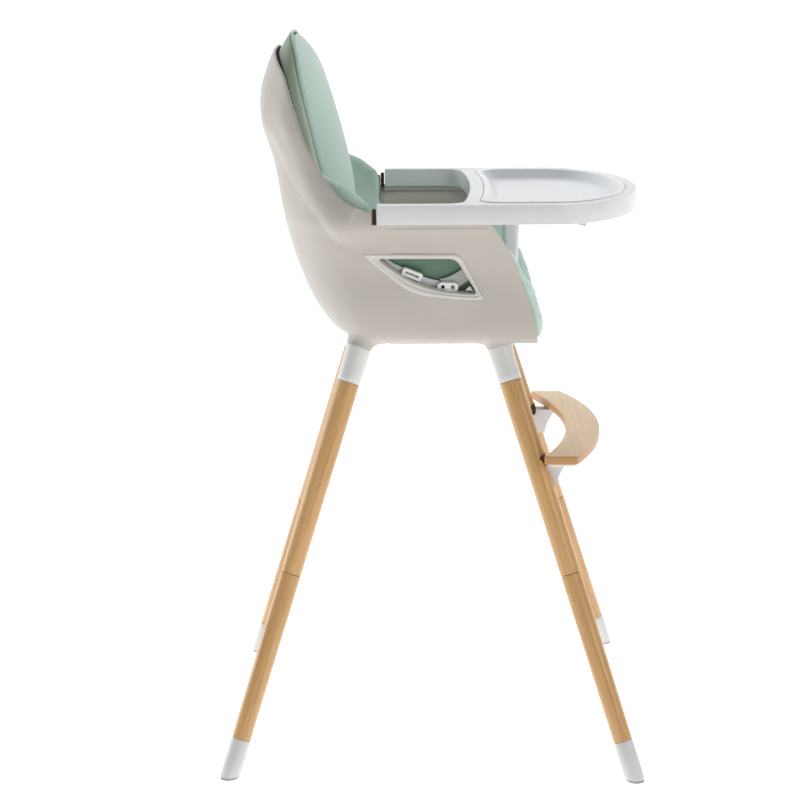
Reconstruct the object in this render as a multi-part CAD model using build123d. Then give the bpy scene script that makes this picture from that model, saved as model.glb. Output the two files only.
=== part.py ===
from build123d import *
import math
import os

# Baby high chair. Millimetres. +X is the way the child faces, +Y is the child's
# left, +Z is up, and the floor is z = 0 under the middle of the chair.

# ------------------------------------------------------------------ driving dimensions
SIDES = {"left": 1, "right": -1}
ROWS = {"rear": -1, "front": 1}

# Legs: every axis runs from a point below the seat to a point just above the floor.
LEG_TOP_X, LEG_TOP_Y, LEG_TOP_Z = 105.0, 120.0, 502.0
LEG_FOOT_X, LEG_FOOT_Z = 262.5, 3.0
LEG_FOOT_Y = {"rear": 247.0, "front": 271.0}
LEG_TOP_RADIUS, LEG_FOOT_RADIUS = 15.0, 12.0
SOCKET_TOP_Z = 539.0
WOOD_TOP_Z = 497.5
LEG_SPLIT_Z = 256.0
CAP_TOP_Z = 48.5
SPIGOT_END_Z = 25.0
PAD_THICK = 3.0
STUD_RADIUS, STUD_HALF = 4.0, 22.0
SOCKET_SCREW_RADIUS, SOCKET_SCREW_LENGTH = 3.0, 24.0
SPIGOT_RADIUS = 7.5

# Seat shell: horizontal sections, each (z, rearmost x, half width, corner depth).
SEAT_SECTIONS = (
    (550.0, -100.0, 130.0, 62.0),
    (558.0, -121.0, 145.0, 74.0),
    (570.0, -134.0, 153.0, 80.0),
    (588.0, -147.0, 159.0, 86.0),
    (610.0, -159.0, 165.0, 92.0),
    (651.0, -174.5, 176.0, 98.0),
    (696.0, -187.0, 198.0, 104.0),
    (719.0, -191.5, 212.0, 108.0),
    (757.0, -197.5, 205.0, 110.0),
    (785.0, -203.0, 195.0, 110.0),
    (806.0, -210.0, 188.0, 109.0),
    (830.0, -219.0, 181.0, 107.0),
    (852.0, -222.0, 176.0, 105.0),
    (877.0, -220.5, 168.0, 102.0),
    (903.0, -213.0, 160.0, 98.0),
    (929.0, -199.0, 150.0, 92.0),
    (962.0, -168.0, 134.0, 80.0),
)
SECTION_FRONT = 190.0
CORNER_WIDTH_SHARE = 0.8
SHELL_WALL = 4.0
SEAT_BOTTOM, SEAT_FLOOR = 550.0, 554.0
HEAD_ARCH_BASE, HEAD_ARCH_TOP, HEAD_ARCH_HALF = 797.0, 930.0, 190.0
ARM_REAR, ARM_FRONT, ARM_TOP = -70.0, 77.0, 717.0
LEDGE_WIDTH, LEDGE_THICK = 12.0, 6.0

# Boss under the seat at the top of each leg.
BOSS_TOP_RADIUS, BOSS_FLARE, BOSS_LENGTH = 16.2, 19.0, 21.0
BOSS_WAIST, BOSS_WAIST_SHARE = 2.5, 0.6

# Outlines in the side view, as (x, z).
RIM_LINE = (
    (-187.0, 942.0), (-187.3, 918.0), (-182.7, 893.5), (-169.3, 855.0),
    (-151.9, 819.0), (-126.5, 771.6), (-104.5, 745.0), (-90.8, 736.3), (-70.0, 733.5),
)
SIDE_FRONT_EDGE = (
    (77.0, 717.0), (103.6, 675.0), (121.6, 631.0), (135.5, 588.0), (141.0, 550.0),
)
OPENING_OUTER = ((-82.0, 676.5), (39.0, 675.5), (70.0, 615.0), (20.0, 618.2), (-27.0, 630.0))
OPENING_INNER = ((-66.5, 670.5), (35.0, 670.0), (62.5, 621.0), (18.0, 625.5), (-26.0, 641.0))
TRIM_PROUD, TRIM_DEPTH = 1.6, 8.0

# Cushions: depths from the shell's outer face.
LINER_OUTER, LINER_INNER, CUSHION_GAP = 5.0, 22.0, 0.5
HARNESS_POCKET, POCKET_LOW, POCKET_HIGH = 17.0, 601.0, 687.0
SEAT_PAD_TOP = 597.0
SIDE_PAD_LOW_FRONT = 140.0
SIDE_PAD_LINE = (
    (-141.0, 787.0), (-126.0, 776.0), (-96.0, 760.0), (-73.0, 740.0), (-71.0, 720.0),
    (-71.0, 694.0), (72.0, 690.0), (97.0, 690.0), (106.0, 683.0), (116.0, 667.0),
    (126.0, 645.0), (134.0, 634.0), (143.0, 611.0), (150.0, 588.0), (151.5, 573.0),
    (148.0, 560.0), (142.0, 555.0),
)
FLAP_LINE = ((141.6, 597.0), (149.0, 590.0), (153.5, 573.0), (151.5, 560.0), (144.0, 552.0))
FLAP_REAR, FLAP_HALF = 141.6, 118.0
LINER_FRONT_LINE = (
    (-112.0, 554.0), (-141.0, 787.0), (-158.0, 839.0), (-171.0, 877.0), (-176.0, 905.0), (-179.0, 950.0),
)
# Back pad: horizontal sections, each
# (z, rear x, front x at the edge, front x at the middle, half width).
BACK_PAD_SECTIONS = (
    (598.0, -230.0, -122.0, -98.0, 112.0),
    (677.0, -230.0, -126.0, -98.0, 116.0),
    (757.0, -230.0, -132.0, -102.0, 120.0),
    (797.0, -230.0, -141.0, -110.0, 120.0),
    (843.0, -230.0, -151.0, -122.0, 117.0),
    (882.0, -193.0, -160.0, -134.0, 108.0),
    (908.0, -190.0, -165.0, -143.0, 94.0),
    (932.0, -183.0, -170.0, -156.0, 70.0),
    (949.0, -179.0, -175.0, -171.0, 34.0),
)
PAD_FREE_Z = 882.0
LINER_ABOVE_SHELL = 15.0
STRAP_SLOT_X, STRAP_SLOT_HALF = 42.0, 16.0
SLOT_REAR, SLOT_FRONT, SLOT_MARGIN = 4.0, 2.0, 2.0
POCKET_REAR, POCKET_FRONT = -92.0, 84.0

# Tray
TRAY_TOP, TRAY_BOTTOM, TRAY_WALL = 742.0, 717.5, 3.0
TRAY_REAR, TRAY_HALF = -63.5, 219.0
TRAY_NOSE_X, TRAY_NOSE_DEPTH = 160.0, 118.0
CHILD_HALF, CHILD_FRONT, CHILD_BOW, CHILD_CORNER = 199.5, 56.0, 12.0, 26.0
INSERT_REAR, INSERT_BOW, INSERT_HALF, INSERT_CORNER = 66.0, 8.5, 195.0, 28.0
INSERT_NOSE_DEPTH, INSERT_FLOOR = 104.0, 732.0
INSERT_RIM, INSERT_BEVEL = 8.0, 10.0
POCKET_FLOOR, POCKET_GAP = 728.0, 0.6
INSERT_LIFT_GAP = 0.3
POST_X, POST_TOP_SIZE, POST_FOOT_SIZE, POST_FOOT_Z = 110.5, (26.0, 52.0), (18.0, 40.0), 637.0

# Tray rails on the armrests and the latch levers over them
RAIL_Y, RAIL_WIDTH, RAIL_REAR, RAIL_FRONT, RAIL_TOP = 207.5, 8.0, -58.0, 62.0, 727.0
RAIL_MOUTH_HALF, RAIL_MOUTH_DEPTH, RAIL_MOUTH_TOP = 6.0, 4.0, 729.0
NOTCH_STEP, NOTCH_LENGTH, NOTCH_DEPTH = 25.0, 10.0, 5.5
LEVER_PIVOT_X, LEVER_PIVOT_Z, LEVER_PIN_RADIUS = 100.0, 729.5, 1.5
LEVER_Y, LEVER_WIDTH, LEVER_BORE_GAP = 208.5, 7.0, 0.05
GRIP_REAR, GRIP_FRONT, GRIP_LOW_Y, GRIP_HIGH_Y = 125.0, 198.0, 187.0, 202.0
RELEASE_GAP = 0.4
LEVER_NOSE_X = 50.0
RAIL_SCREW_X, RAIL_SCREW_RADIUS, RAIL_SCREW_LENGTH = (-38.0, 12.5, 37.5), 1.5, 7.0
POST_SCREW_Y, POST_SCREW_RADIUS, POST_SCREW_LENGTH = (-14.0, 14.0), 2.0, 17.0
STOP_REAR, STOP_FRONT, STOP_LOW_Y, STOP_HIGH_Y, STOP_TOP = -69.4, -64.6, 203.0, 214.0, 736.0

# Footrest
BOARD_TOP, BOARD_THICK = 415.0, 11.0
BOARD_OUTER_X, BOARD_INNER_X, BOARD_HALF = 232.0, 186.0, 200.0
BOARD_OUTER_RADIUS, BOARD_INNER_RADIUS = 501.0, 518.0
BOARD_CORNER = 4.0
PLATE_THICK, PLATE_INSET = 4.0, 5.0
BRACKET_WIDTH, BRACKET_DROP, BRACKET_SCREW_Z = 22.0, 34.0, 383.0
BRACKET_FRONT = ((182.0, 0.0), (172.0, -14.0), (165.0, -34.0))
BRACKET_SCREW_RADIUS, BRACKET_SCREW_LENGTH = 2.5, 30.0
LEG_CLEARANCE = 0.02
PAD_X, PAD_Z, PAD_WIDE, PAD_HIGH, PAD_DEEP = 147.5, 399.5, 9.0, 15.0, 26.0
LEG_CLEARANCE_LOW, LEG_CLEARANCE_HIGH = 340.0, 440.0

# Harness
STRAP_THICK = 1.6
BUCKLE_Z = 600.0
STRAP_Y, STRAP_Z, STRAP_LEAN = 160.5, 637.0, 17.0
WAIST_STRAP_LINE = (
    (-78.0, 665.0), (-56.0, 647.0), (-24.0, 635.0), (14.0, 627.0), (44.0, 625.0),
    (46.0, 643.0), (18.0, 646.0), (-18.0, 654.0), (-44.0, 665.0), (-62.0, 679.0),
    (-78.0, 665.0),
)
SLIDER_X, SLIDER_Z, SLIDER_TILT, SLIDER_SIZE = -22.0, 648.0, 16.0, (26.0, 6.0, 26.0)
CLIP_X, CLIP_Z, CLIP_TILT, CLIP_SIZE = 28.0, 637.0, 7.0, (24.0, 6.0, 26.0)
CROTCH_STRAP_HALF = 12.5
BUCKLE_REAR, BUCKLE_FRONT, BUCKLE_HALF, BUCKLE_THICK, BUCKLE_CORNER = 20.0, 64.0, 21.0, 14.0, 8.0
BUTTON_RADIUS, BUTTON_WELL_RADIUS, BUTTON_WELL_FLOOR = 9.0, 9.3, 8.0
BUTTON_LOW, BUTTON_HEIGHT = 11.5, 4.5
TONGUE_REAR, TONGUE_FRONT, TONGUE_Y, TONGUE_LOW, TONGUE_HIGH = 30.0, 54.0, 19.0, 4.0, 8.0


# ------------------------------------------------------------------ small helpers
def place_xz(face, y_low, y_high):
    """Extrude an outline given as (x, z) between two planes of constant y."""
    return Pos(0, y_high, 0) * (Plane.XZ * extrude(face, y_high - y_low))


def box_between(low, high):
    size = [high[i] - low[i] for i in range(3)]
    middle = [(high[i] + low[i]) / 2 for i in range(3)]
    return Pos(*middle) * Box(*size)


def mirrored(solid, side):
    return solid if side > 0 else mirror(solid, about=Plane.XZ)


def save(name, *solids):
    shape = solids[0] if len(solids) == 1 else Compound(children=list(solids))
    export_step(shape, f"parts/{name}.step")


# ------------------------------------------------------------------ legs
def leg_point(row, side, z):
    """The point of a leg's axis at height z."""
    share = (LEG_TOP_Z - z) / (LEG_TOP_Z - LEG_FOOT_Z)
    x = ROWS[row] * (LEG_TOP_X + (LEG_FOOT_X - LEG_TOP_X) * share)
    y = SIDES[side] * (LEG_TOP_Y + (LEG_FOOT_Y[row] - LEG_TOP_Y) * share)
    return Vector(x, y, z)


def leg_radius(z):
    share = (LEG_TOP_Z - z) / (LEG_TOP_Z - LEG_FOOT_Z)
    return LEG_TOP_RADIUS + (LEG_FOOT_RADIUS - LEG_TOP_RADIUS) * share


def leg_plane(row, side, z):
    up = leg_point(row, side, LEG_TOP_Z) - leg_point(row, side, LEG_FOOT_Z)
    return Plane(origin=leg_point(row, side, z), z_dir=up.normalized())


def leg_round(row, side, z_low, z_high, radius_low, radius_high=None):
    """A round piece on a leg's axis, straight or tapered."""
    length = (leg_point(row, side, z_high) - leg_point(row, side, z_low)).length
    base = (Align.CENTER, Align.CENTER, Align.MIN)
    if radius_high is None:
        shape = Cylinder(radius_low, length, align=base)
    else:
        shape = Cone(radius_low, radius_high, length, align=base)
    return leg_plane(row, side, z_low) * shape


def leg_stud(row, side, z):
    """A threaded stud, plain here, centred on the joint at height z."""
    plane = leg_plane(row, side, z)
    return plane * Cylinder(STUD_RADIUS, 2 * STUD_HALF)


def leg_socket(row, side):
    body = leg_round(row, side, WOOD_TOP_Z, SOCKET_TOP_Z, leg_radius(WOOD_TOP_Z) + 0.3, 16.5)
    return body - leg_stud(row, side, WOOD_TOP_Z) - socket_screw(row, side)


def socket_screw(row, side):
    """The screw that holds a socket to its boss, from inside the socket."""
    return leg_plane(row, side, SOCKET_TOP_Z) * Cylinder(SOCKET_SCREW_RADIUS, SOCKET_SCREW_LENGTH)


def upper_leg(row, side):
    body = leg_round(row, side, LEG_SPLIT_Z, WOOD_TOP_Z, leg_radius(LEG_SPLIT_Z), LEG_TOP_RADIUS)
    return body - leg_stud(row, side, WOOD_TOP_Z) - leg_stud(row, side, LEG_SPLIT_Z)


def lower_leg(row, side):
    wood = leg_round(row, side, CAP_TOP_Z, LEG_SPLIT_Z, leg_radius(CAP_TOP_Z), leg_radius(LEG_SPLIT_Z))
    spigot = leg_round(row, side, SPIGOT_END_Z, CAP_TOP_Z, SPIGOT_RADIUS)
    return wood + spigot - leg_stud(row, side, LEG_SPLIT_Z)


def foot_cap(row, side):
    body = leg_round(row, side, -12.0, CAP_TOP_Z, 12.6, leg_radius(CAP_TOP_Z) + 0.25)
    body -= leg_round(row, side, SPIGOT_END_Z, CAP_TOP_Z, SPIGOT_RADIUS)
    return body & box_between((-400, -400, PAD_THICK), (400, 400, 100))


def foot_pad(row, side):
    body = leg_round(row, side, -12.0, CAP_TOP_Z, 11.4)
    return body & box_between((-400, -400, 0), (400, 400, PAD_THICK))


# ------------------------------------------------------------------ seat shell
def seat_section(z, inset):
    """Horizontal section of the seat at height z, moved inwards by inset."""
    rows = SEAT_SECTIONS
    low = max(i for i in range(len(rows) - 1) if rows[i][0] <= z)
    share = (z - rows[low][0]) / (rows[low + 1][0] - rows[low][0])
    back, half, deep = (rows[low][k] + (rows[low + 1][k] - rows[low][k]) * share for k in (1, 2, 3))
    back, half, deep = back + inset, half - inset, deep - inset
    wide = CORNER_WIDTH_SHARE * half
    front = SECTION_FRONT
    left = EllipticalCenterArc((back + deep, half - wide), deep, wide, start_angle=90, arc_size=90)
    right = EllipticalCenterArc((back + deep, wide - half), deep, wide, start_angle=180, arc_size=90)
    edges = [
        Line((front, half), (back + deep, half)),
        left,
        Line((back, half - wide), (back, wide - half)),
        right,
        Line((back + deep, -half), (front, -half)),
        Line((front, -half), (front, half)),
    ]
    return Pos(0, 0, z) * make_face(Curve() + edges)


def seat_body(inset, floor=SEAT_BOTTOM):
    """The whole bucket as one solid, moved inwards by inset, standing on floor."""
    heights = [floor] + [row[0] for row in SEAT_SECTIONS if row[0] > floor + 3.0]
    return loft([seat_section(z, inset) for z in heights])


def outline_face(edges):
    return make_face(Curve() + edges)


def seat_side_outline():
    """Side view of the seat: rim, armrest, front edge and flat bottom."""
    edges = [
        Spline(*RIM_LINE),
        Polyline(RIM_LINE[-1], (ARM_REAR, ARM_TOP), (ARM_FRONT, ARM_TOP)),
        Spline(*SIDE_FRONT_EDGE),
        Polyline(SIDE_FRONT_EDGE[-1], (-260.0, SEAT_BOTTOM), (-260.0, RIM_LINE[0][1]), RIM_LINE[0]),
    ]
    return outline_face(edges)


def head_arch():
    """Front view of the seat: straight sides under an elliptical head."""
    top = HEAD_ARCH_TOP - HEAD_ARCH_BASE
    edges = [
        EllipticalCenterArc((0, HEAD_ARCH_BASE), HEAD_ARCH_HALF, top, start_angle=0, arc_size=180),
        Polyline(
            (-HEAD_ARCH_HALF, HEAD_ARCH_BASE),
            (-230.0, HEAD_ARCH_BASE),
            (-230.0, SEAT_BOTTOM),
            (230.0, SEAT_BOTTOM),
            (230.0, HEAD_ARCH_BASE),
            (HEAD_ARCH_HALF, HEAD_ARCH_BASE),
        ),
    ]
    return Pos(-260, 0, 0) * (Plane.YZ * extrude(outline_face(edges), 500))


def opening_outline(points):
    """Leaf-shaped opening: straight top and front, curved bottom."""
    tip, top, corner, *bottom = points
    edges = [
        Line(tip, top),
        Line(top, corner),
        Spline(corner, *bottom, tip),
    ]
    return outline_face(edges)


def boss(row, side):
    """Flared boss that carries a leg socket."""
    profile = outline_face([
        Polyline((0, BOSS_LENGTH), (0, 0), (BOSS_TOP_RADIUS, 0)),
        Spline(
            (BOSS_TOP_RADIUS, 0),
            (BOSS_TOP_RADIUS + BOSS_WAIST, BOSS_WAIST_SHARE * BOSS_LENGTH),
            (BOSS_TOP_RADIUS + BOSS_FLARE, BOSS_LENGTH),
        ),
        Line((BOSS_TOP_RADIUS + BOSS_FLARE, BOSS_LENGTH), (0, BOSS_LENGTH)),
    ])
    turned = revolve(Plane.XZ * profile, Axis.Z)
    solid = leg_plane(row, side, SOCKET_TOP_Z) * turned
    solid &= box_between((-400, -400, 500), (400, 400, SEAT_BOTTOM))
    return solid - socket_screw(row, side)


def ledge(outer, side):
    """Flat ledge along the top of an armrest, on which the tray runs."""
    low_y, high_y = (0, 300) if side > 0 else (-300, 0)
    strip = outer & box_between((ARM_REAR, low_y, ARM_TOP - LEDGE_THICK), (ARM_FRONT, high_y, ARM_TOP))
    return strip - seat_body(LEDGE_WIDTH)


def strap_slot(margin, low, high):
    """Cutter for the slot that the crotch strap comes up through."""
    rear, front = STRAP_SLOT_X - SLOT_REAR - margin, STRAP_SLOT_X + SLOT_FRONT + margin
    half = STRAP_SLOT_HALF + margin
    return box_between((rear, -half, low), (front, half, high))


def seat_shell(outer):
    cavity = seat_body(SHELL_WALL, SEAT_FLOOR)
    body = outer - cavity
    body &= place_xz(seat_side_outline(), -260, 260)
    body &= head_arch()
    for side in SIDES.values():
        body += ledge(outer, side)
    for row in ROWS:
        for side in SIDES:
            body -= socket_screw(row, side)
    body -= place_xz(opening_outline(OPENING_OUTER), -260, 260)
    body -= strap_slot(0, SEAT_BOTTOM - 1, SEAT_FLOOR + 1)
    for side in SIDES.values():
        for x in RAIL_SCREW_X:
            body -= Pos(x, side * RAIL_Y, ARM_TOP) * Cylinder(RAIL_SCREW_RADIUS, 20)
    return body


def opening_trim(side):
    """Raised ring that lines a side opening."""
    ring = place_xz(opening_outline(OPENING_OUTER), 60, 260)
    ring -= place_xz(opening_outline(OPENING_INNER), 50, 270)
    skin = seat_body(-TRIM_PROUD) - seat_body(TRIM_DEPTH - TRIM_PROUD)
    return mirrored(ring & skin, side)


# ------------------------------------------------------------------ cushions
def side_pad(side, liner):
    """Padded side of the cushion, from the back round to the front edge."""
    low = SEAT_FLOOR + CUSHION_GAP
    ends = ((SIDE_PAD_LOW_FRONT, low), (LINER_FRONT_LINE[0][0], low), SIDE_PAD_LINE[0])
    outline = outline_face([Polyline(*SIDE_PAD_LINE, *ends)])
    body = liner & place_xz(outline, 40, 260)
    pocket = seat_body(LINER_OUTER - 1) - seat_body(HARNESS_POCKET)
    reach = box_between((POCKET_REAR, 60, POCKET_LOW), (POCKET_FRONT, 260, POCKET_HIGH))
    return mirrored(body - (pocket & reach), side)


def back_liner(liner, pad):
    """Thin liner that covers the back inside the shell and rolls over its top."""
    low, high = LINER_FRONT_LINE[0], LINER_FRONT_LINE[-1]
    behind = ((-260.0, high[1]), (-260.0, low[1]), low)
    outline = outline_face([Polyline(*LINER_FRONT_LINE, *behind)])
    body = liner & place_xz(outline, -260, 260)
    body &= Pos(0, 0, LINER_ABOVE_SHELL) * head_arch()
    body &= box_between((-400, -400, SEAT_PAD_TOP + CUSHION_GAP), (400, 400, 1000))
    return body - pad


def pad_section(z, rear_x, edge, middle, half):
    front = ThreePointArc((edge, half), (middle, 0), (edge, -half))
    rear = Polyline((edge, -half), (rear_x, -half), (rear_x, half), (edge, half))
    return Pos(0, 0, z) * outline_face([front, rear])


def back_pad(inner):
    """Thick crowned pad in front of the liner; its top leans over the shell."""
    lower = [pad_section(*row) for row in BACK_PAD_SECTIONS if row[0] <= PAD_FREE_Z]
    upper = [pad_section(*row) for row in BACK_PAD_SECTIONS if row[0] >= PAD_FREE_Z]
    return (loft(lower) & inner) + loft(upper)


def seat_pad(inner):
    """Seat cushion with the flap that covers the front edge."""
    body = inner & box_between((-230, -230, SEAT_FLOOR + CUSHION_GAP), (FLAP_REAR, 230, SEAT_PAD_TOP))
    outline = outline_face([
        Spline(*FLAP_LINE),
        Polyline(FLAP_LINE[-1], (FLAP_REAR, FLAP_LINE[-1][1]), FLAP_LINE[0]),
    ])
    body += place_xz(outline, -FLAP_HALF, FLAP_HALF)
    return body - strap_slot(SLOT_MARGIN, SEAT_BOTTOM, SEAT_PAD_TOP + 1)


# ------------------------------------------------------------------ harness
def waist_strap(side):
    """Webbing that lies along the lower edge of a side opening."""
    outline = outline_face([Polyline(*WAIST_STRAP_LINE)])
    return lean_outwards(place_xz(outline, -STRAP_THICK / 2, STRAP_THICK / 2), side)


def lean_outwards(flat, side):
    """Lean a piece drawn upright at y = 0 to lie along the sloping side wall."""
    turn = Pos(0, STRAP_Y, STRAP_Z) * Rotation(-STRAP_LEAN, 0, 0) * Pos(0, 0, -STRAP_Z)
    return mirrored(turn * flat, side)


def strap_slider(side, strap):
    block = Pos(SLIDER_X, 0, SLIDER_Z) * (Rotation(0, SLIDER_TILT, 0) * Box(*SLIDER_SIZE))
    return lean_outwards(block, side) - strap


def waist_clip(side, strap):
    block = Pos(CLIP_X, 0, CLIP_Z) * (Rotation(0, CLIP_TILT, 0) * Box(*CLIP_SIZE))
    return lean_outwards(block, side) - strap


def crotch_strap():
    """Webbing from the slot in the seat floor up to the buckle."""
    rear = STRAP_SLOT_X - SLOT_FRONT
    low = (rear, -CROTCH_STRAP_HALF, SEAT_BOTTOM)
    return box_between(low, (rear + STRAP_THICK, CROTCH_STRAP_HALF, BUCKLE_Z))


def buckle_body():
    top = (BUCKLE_FRONT, BUCKLE_HALF, BUCKLE_Z + BUCKLE_THICK)
    body = box_between((BUCKLE_REAR, -BUCKLE_HALF, BUCKLE_Z), top)
    body = fillet(body.edges().filter_by(Axis.Z), BUCKLE_CORNER)
    upwards = (Align.CENTER, Align.CENTER, Align.MIN)
    well = Cylinder(BUTTON_WELL_RADIUS, BUCKLE_THICK, align=upwards)
    body -= Pos(STRAP_SLOT_X, 0, BUCKLE_Z + BUTTON_WELL_FLOOR) * well
    for side in SIDES.values():
        low = (TONGUE_REAR, TONGUE_Y - 3, BUCKLE_Z + TONGUE_LOW)
        mouth = box_between(low, (TONGUE_FRONT, TONGUE_Y + 3, BUCKLE_Z + TONGUE_HIGH))
        body -= mirrored(mouth, side)
    return body


def buckle_button():
    disc = Cylinder(BUTTON_RADIUS, BUTTON_HEIGHT, align=(Align.CENTER, Align.CENTER, Align.MIN))
    return Pos(STRAP_SLOT_X, 0, BUCKLE_Z + BUTTON_LOW) * disc


# ------------------------------------------------------------------ tray
def tray_outline(inset):
    """Plan of the tray: straight arms and a half-ellipse nose, moved inwards."""
    half = TRAY_HALF - inset
    sides = Pos((TRAY_REAR + inset + TRAY_NOSE_X) / 2, 0) * Rectangle(
        TRAY_NOSE_X - TRAY_REAR - inset, 2 * half
    )
    nose = Pos(TRAY_NOSE_X, 0) * Ellipse(TRAY_NOSE_DEPTH - inset, half)
    return sides + nose


def child_opening(growth):
    """Plan of the gap for the child, between the arms."""
    rear, front = TRAY_REAR - 20, CHILD_FRONT + growth
    half, side_front = CHILD_HALF + growth, CHILD_FRONT - CHILD_BOW + growth
    body = outline_face([
        Polyline((side_front, -half), (rear, -half), (rear, half), (side_front, half)),
        ThreePointArc((side_front, half), (front, 0), (side_front, -half)),
    ])
    corners = body.vertices().group_by(Axis.X)[-1]
    return fillet(corners, CHILD_CORNER)


def insert_outline(inset):
    """Plan of the lift-off tray: bowed rear edge, round corners, elliptical nose."""
    half, rear = INSERT_HALF - inset, INSERT_REAR + inset
    corner = INSERT_CORNER
    edges = [
        ThreePointArc((rear, half - corner), (rear + INSERT_BOW, 0), (rear, corner - half)),
        RadiusArc((rear, corner - half), (rear + corner, -half), -corner),
        Line((rear + corner, -half), (TRAY_NOSE_X, -half)),
        EllipticalCenterArc(
            (TRAY_NOSE_X, 0), INSERT_NOSE_DEPTH - inset, half, start_angle=-90, arc_size=180
        ),
        Line((TRAY_NOSE_X, half), (rear + corner, half)),
        RadiusArc((rear + corner, half), (rear, half - corner), -corner),
    ]
    return outline_face(edges)


def tray_body():
    height = TRAY_TOP - TRAY_BOTTOM
    body = Pos(0, 0, TRAY_BOTTOM) * extrude(tray_outline(0), height)
    body -= Pos(0, 0, TRAY_BOTTOM - 1) * extrude(child_opening(0), height + 2)
    body -= Pos(0, 0, POCKET_FLOOR) * extrude(insert_outline(-POCKET_GAP), 30)
    under = tray_outline(TRAY_WALL) - child_opening(TRAY_WALL)
    body -= Pos(0, 0, TRAY_BOTTOM - 1) * extrude(under, POCKET_FLOOR - TRAY_WALL - TRAY_BOTTOM + 1)
    rim = under - insert_outline(-POCKET_GAP - TRAY_WALL)
    body -= Pos(0, 0, TRAY_BOTTOM - 1) * extrude(rim, TRAY_TOP - TRAY_WALL - TRAY_BOTTOM + 1)
    for side in SIDES.values():
        mouth = box_between(
            (TRAY_REAR - 1, RAIL_Y - RAIL_MOUTH_HALF, TRAY_BOTTOM - 1),
            (TRAY_REAR + RAIL_MOUTH_DEPTH, RAIL_Y + RAIL_MOUTH_HALF, RAIL_MOUTH_TOP),
        )
        body -= mirrored(mouth, side)
    for y in POST_SCREW_Y:
        body -= Pos(POST_X, y, POCKET_FLOOR) * Cylinder(POST_SCREW_RADIUS, 20)
    return body


def tray_insert():
    rise = POCKET_FLOOR + INSERT_LIFT_GAP
    body = Pos(0, 0, rise) * extrude(insert_outline(0), TRAY_TOP + 1 - rise)
    dish = loft([
        Pos(0, 0, INSERT_FLOOR) * insert_outline(INSERT_RIM + INSERT_BEVEL),
        Pos(0, 0, TRAY_TOP + 1) * insert_outline(INSERT_RIM),
    ])
    return body - dish


def crotch_post():
    low, high = POST_FOOT_Z, POCKET_FLOOR - TRAY_WALL
    foot = Pos(POST_X, 0, low) * RectangleRounded(*POST_FOOT_SIZE, 6)
    top = Pos(POST_X, 0, high) * RectangleRounded(*POST_TOP_SIZE, 6)
    body = loft([foot, top])
    for y in POST_SCREW_Y:
        body -= Pos(POST_X, y, high) * Cylinder(POST_SCREW_RADIUS, 30)
    return body


def post_screw(y):
    down = (Align.CENTER, Align.CENTER, Align.MAX)
    return Pos(POST_X, y, POCKET_FLOOR) * Cylinder(POST_SCREW_RADIUS, POST_SCREW_LENGTH, align=down)


def tray_rail(side):
    """Rail on an armrest, with three notches that set the tray's depth."""
    body = box_between(
        (RAIL_REAR, RAIL_Y - RAIL_WIDTH / 2, ARM_TOP),
        (RAIL_FRONT, RAIL_Y + RAIL_WIDTH / 2, RAIL_TOP),
    )
    for step in range(3):
        x = LEVER_NOSE_X - step * NOTCH_STEP
        body -= Pos(x, RAIL_Y, RAIL_TOP) * Box(NOTCH_LENGTH, 20, 2 * NOTCH_DEPTH)
    for x in RAIL_SCREW_X:
        body -= Pos(x, RAIL_Y, RAIL_TOP) * Cylinder(RAIL_SCREW_RADIUS, 40)
    return mirrored(body, side)


def rail_screw(x, side):
    down = (Align.CENTER, Align.CENTER, Align.MAX)
    shank = Cylinder(RAIL_SCREW_RADIUS, RAIL_SCREW_LENGTH, align=down)
    return Pos(x, side * RAIL_Y, RAIL_TOP - NOTCH_DEPTH) * shank


def tray_stop(side):
    """Rubber stop behind a rail, just clear of the tray's arm at home."""
    low = (STOP_REAR, STOP_LOW_Y, ARM_TOP)
    return mirrored(box_between(low, (STOP_FRONT, STOP_HIGH_Y, STOP_TOP)), side)


def latch_lever(side):
    """Release lever: nose over the rail at the rear, finger grip below the tray."""
    nose, pivot, web = RAIL_TOP + RELEASE_GAP, LEVER_PIVOT_Z, TRAY_BOTTOM + 1.5
    arm = outline_face([
        Polyline(
            (LEVER_NOSE_X - 4, nose), (LEVER_NOSE_X + 4, nose), (LEVER_NOSE_X + 8, nose + 1.2),
            (LEVER_PIVOT_X - 5, pivot - 3.5), (LEVER_PIVOT_X + 5, pivot - 4.5),
            (GRIP_REAR, web), (GRIP_REAR + 12, web), (GRIP_REAR + 12, web + 5),
            (LEVER_PIVOT_X + 5, pivot + 3.5), (LEVER_PIVOT_X - 5, pivot + 4.0),
            (LEVER_NOSE_X - 4, nose + 5), (LEVER_NOSE_X - 4, nose),
        ),
    ])
    grip = outline_face([
        Polyline(
            (GRIP_REAR, web), (176.0, web), (181.0, TRAY_BOTTOM), (GRIP_FRONT, TRAY_BOTTOM - 5.5),
            (GRIP_FRONT + 0.5, web + 4.5), (GRIP_REAR, web + 5), (GRIP_REAR, web),
        ),
    ])
    body = place_xz(arm, LEVER_Y - LEVER_WIDTH / 2, LEVER_Y + LEVER_WIDTH / 2)
    body += place_xz(grip, GRIP_LOW_Y, GRIP_HIGH_Y)
    bridge = (GRIP_REAR + 12, LEVER_Y + LEVER_WIDTH / 2, web + 5)
    body += box_between((GRIP_REAR, GRIP_LOW_Y, web), bridge)
    bore = Pos(LEVER_PIVOT_X, LEVER_Y, LEVER_PIVOT_Z) * (
        Rotation(90, 0, 0) * Cylinder(LEVER_PIN_RADIUS + LEVER_BORE_GAP, 40)
    )
    return mirrored(body - bore, side)


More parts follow.
